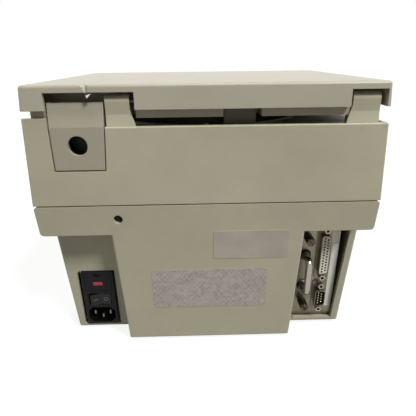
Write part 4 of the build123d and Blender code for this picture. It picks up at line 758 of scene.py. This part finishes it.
rim = [(83.0, 80.5, 160.7, 215.8), (83.5, 80.6, 160.6, 217.0), (84.0, 80.4, 160.5, 218.4),
       (84.5, 80.3, 160.3, 219.4), (84.9, 80.2, 159.7, 220.2), (85.0, 80.4, 159.3, 220.5)]
flake = bmesh.new()
corners = [flake.verts.new(corner) for corner in
           ((82.0, 159.9, 216.0), (81.9, 160.3, 213.9), (81.2, 160.5, 211.9),
            (79.8, 160.5, 213.2), (78.2, 160.2, 214.9), (76.4, 159.9, 215.9))]
flake.faces.new(corners)
bmesh.ops.solidify(flake, geom=flake.faces, thickness=flake_thickness)
in_place = Matrix.Identity(4)
piece("lid_break", [(laid_on_lid(rim), in_place)], painted_break_skin, "lid")
piece("lid_flake", [(flake, in_place)], stressed, "lid")

# Stage: pale floor, soft studio light and the camera


def seen_directly(tree):
    """One for the camera and for what shows in gloss or through glass, else nought."""
    path = tree.nodes.new("ShaderNodeLightPath")
    share = path.outputs["Is Camera Ray"]
    for ray in ("Is Glossy Ray", "Is Transmission Ray"):
        share = reckon(tree, "MAXIMUM", share, path.outputs[ray])
    return share


def floor_look():
    """White floor that keeps the shadow and looks white to the camera and in reflections."""
    look = Finish("studio_floor")
    tree = look.tree
    tree.nodes.remove(look.shader)
    paper = look.node("ShaderNodeBsdfDiffuse", Color=tint(112, 111, 108))
    seen = look.node("ShaderNodeBsdfDiffuse", Color=tint(120, 120, 119))
    glow = look.node("ShaderNodeEmission", Color=(1, 1, 1, 1), Strength=0.86)
    both = tree.nodes.new("ShaderNodeAddShader")
    tree.links.new(seen.outputs["BSDF"], both.inputs[0])
    tree.links.new(glow.outputs["Emission"], both.inputs[1])
    pick = tree.nodes.new("ShaderNodeMixShader")
    tree.links.new(seen_directly(tree), pick.inputs["Fac"])
    tree.links.new(paper.outputs["BSDF"], pick.inputs[1])
    tree.links.new(both.outputs["Shader"], pick.inputs[2])
    tree.links.new(pick.outputs["Shader"], tree.nodes["Material Output"].inputs["Surface"])
    return look.material


half_floor = 6
floor_mesh = bpy.data.meshes.new("floor")
sheet = bmesh.new()
bmesh.ops.create_grid(sheet, x_segments=4, y_segments=4, size=half_floor)
sheet.to_mesh(floor_mesh)
sheet.free()
floor_mesh.materials.append(floor_look())
floor = bpy.data.objects.new("floor", floor_mesh)
scene.collection.objects.link(floor)

# World: dim for what it lights, white where it is seen
world = bpy.data.worlds.new("studio")
scene.world = world
world.use_nodes = True
air = world.node_tree
air.nodes.clear()
dim = air.nodes.new("ShaderNodeBackground")
dim.inputs["Color"].default_value = (1.0, 0.985, 0.95, 1)
dim.inputs["Strength"].default_value = 0.05
white = air.nodes.new("ShaderNodeBackground")
white.inputs["Color"].default_value = (1, 1, 1, 1)
white.inputs["Strength"].default_value = 1.0
pick = air.nodes.new("ShaderNodeMixShader")
target = air.nodes.new("ShaderNodeOutputWorld")
air.links.new(seen_directly(air), pick.inputs["Fac"])
air.links.new(dim.outputs["Background"], pick.inputs[1])
air.links.new(white.outputs["Background"], pick.inputs[2])
air.links.new(pick.outputs["Shader"], target.inputs["Surface"])

# Lamps: where each shines from, its strength, how many degrees its shadows soften over,
# and its colour
key_tone, ceiling_tone, fill_tone = (1.0, 0.985, 0.955), (1.0, 0.99, 0.965), (1.0, 0.99, 0.97)
for name, direction, strength, spread, colour in (
        ("key", (-22, 21, 36), 2.85, 14, key_tone),
        ("ceiling", (-1, 5, 40), 1.22, 10, ceiling_tone),
        ("rear_fill", (-10, 40, 16), 0.12, 60, fill_tone),
        ("front_fill", (46, -40, 6), 1.0, 24, fill_tone),
        ("side_fill", (40, 4, 12), 0.5, 30, fill_tone)):
    data = bpy.data.lights.new(name, "SUN")
    data.energy = strength
    data.angle = math.radians(spread)
    data.color = colour
    made = bpy.data.objects.new(name, data)
    scene.collection.objects.link(made)
    made.rotation_euler = Vector(direction).to_track_quat("Z", "Y").to_euler()

# Camera: behind the unit and above it, turned, dipped and rolled as for the photograph
camera_place = (4.79 * mm, 417.07 * mm, 237.52 * mm)
pan = math.radians(1.04)
dip = math.radians(22.68)
roll = math.radians(0.70)
forward = Vector((-math.sin(pan) * math.cos(dip), -math.cos(pan) * math.cos(dip),
                  -math.sin(dip)))
level = Vector((-math.cos(pan), math.sin(pan), 0))
upward = level.cross(forward)
across = math.cos(roll) * level - math.sin(roll) * upward
up = math.sin(roll) * level + math.cos(roll) * upward
lens = bpy.data.cameras.new("camera")
lens.sensor_fit = "HORIZONTAL"
lens.sensor_width = 36
lens.lens = 31.455
lens.clip_start = 0.01
camera = bpy.data.objects.new("camera", lens)
scene.collection.objects.link(camera)
camera.matrix_world = Matrix.Translation(camera_place) @ Matrix(
    (across, up, -forward)).transposed().to_4x4()
scene.camera = camera
scene.view_settings.view_transform = "Standard"
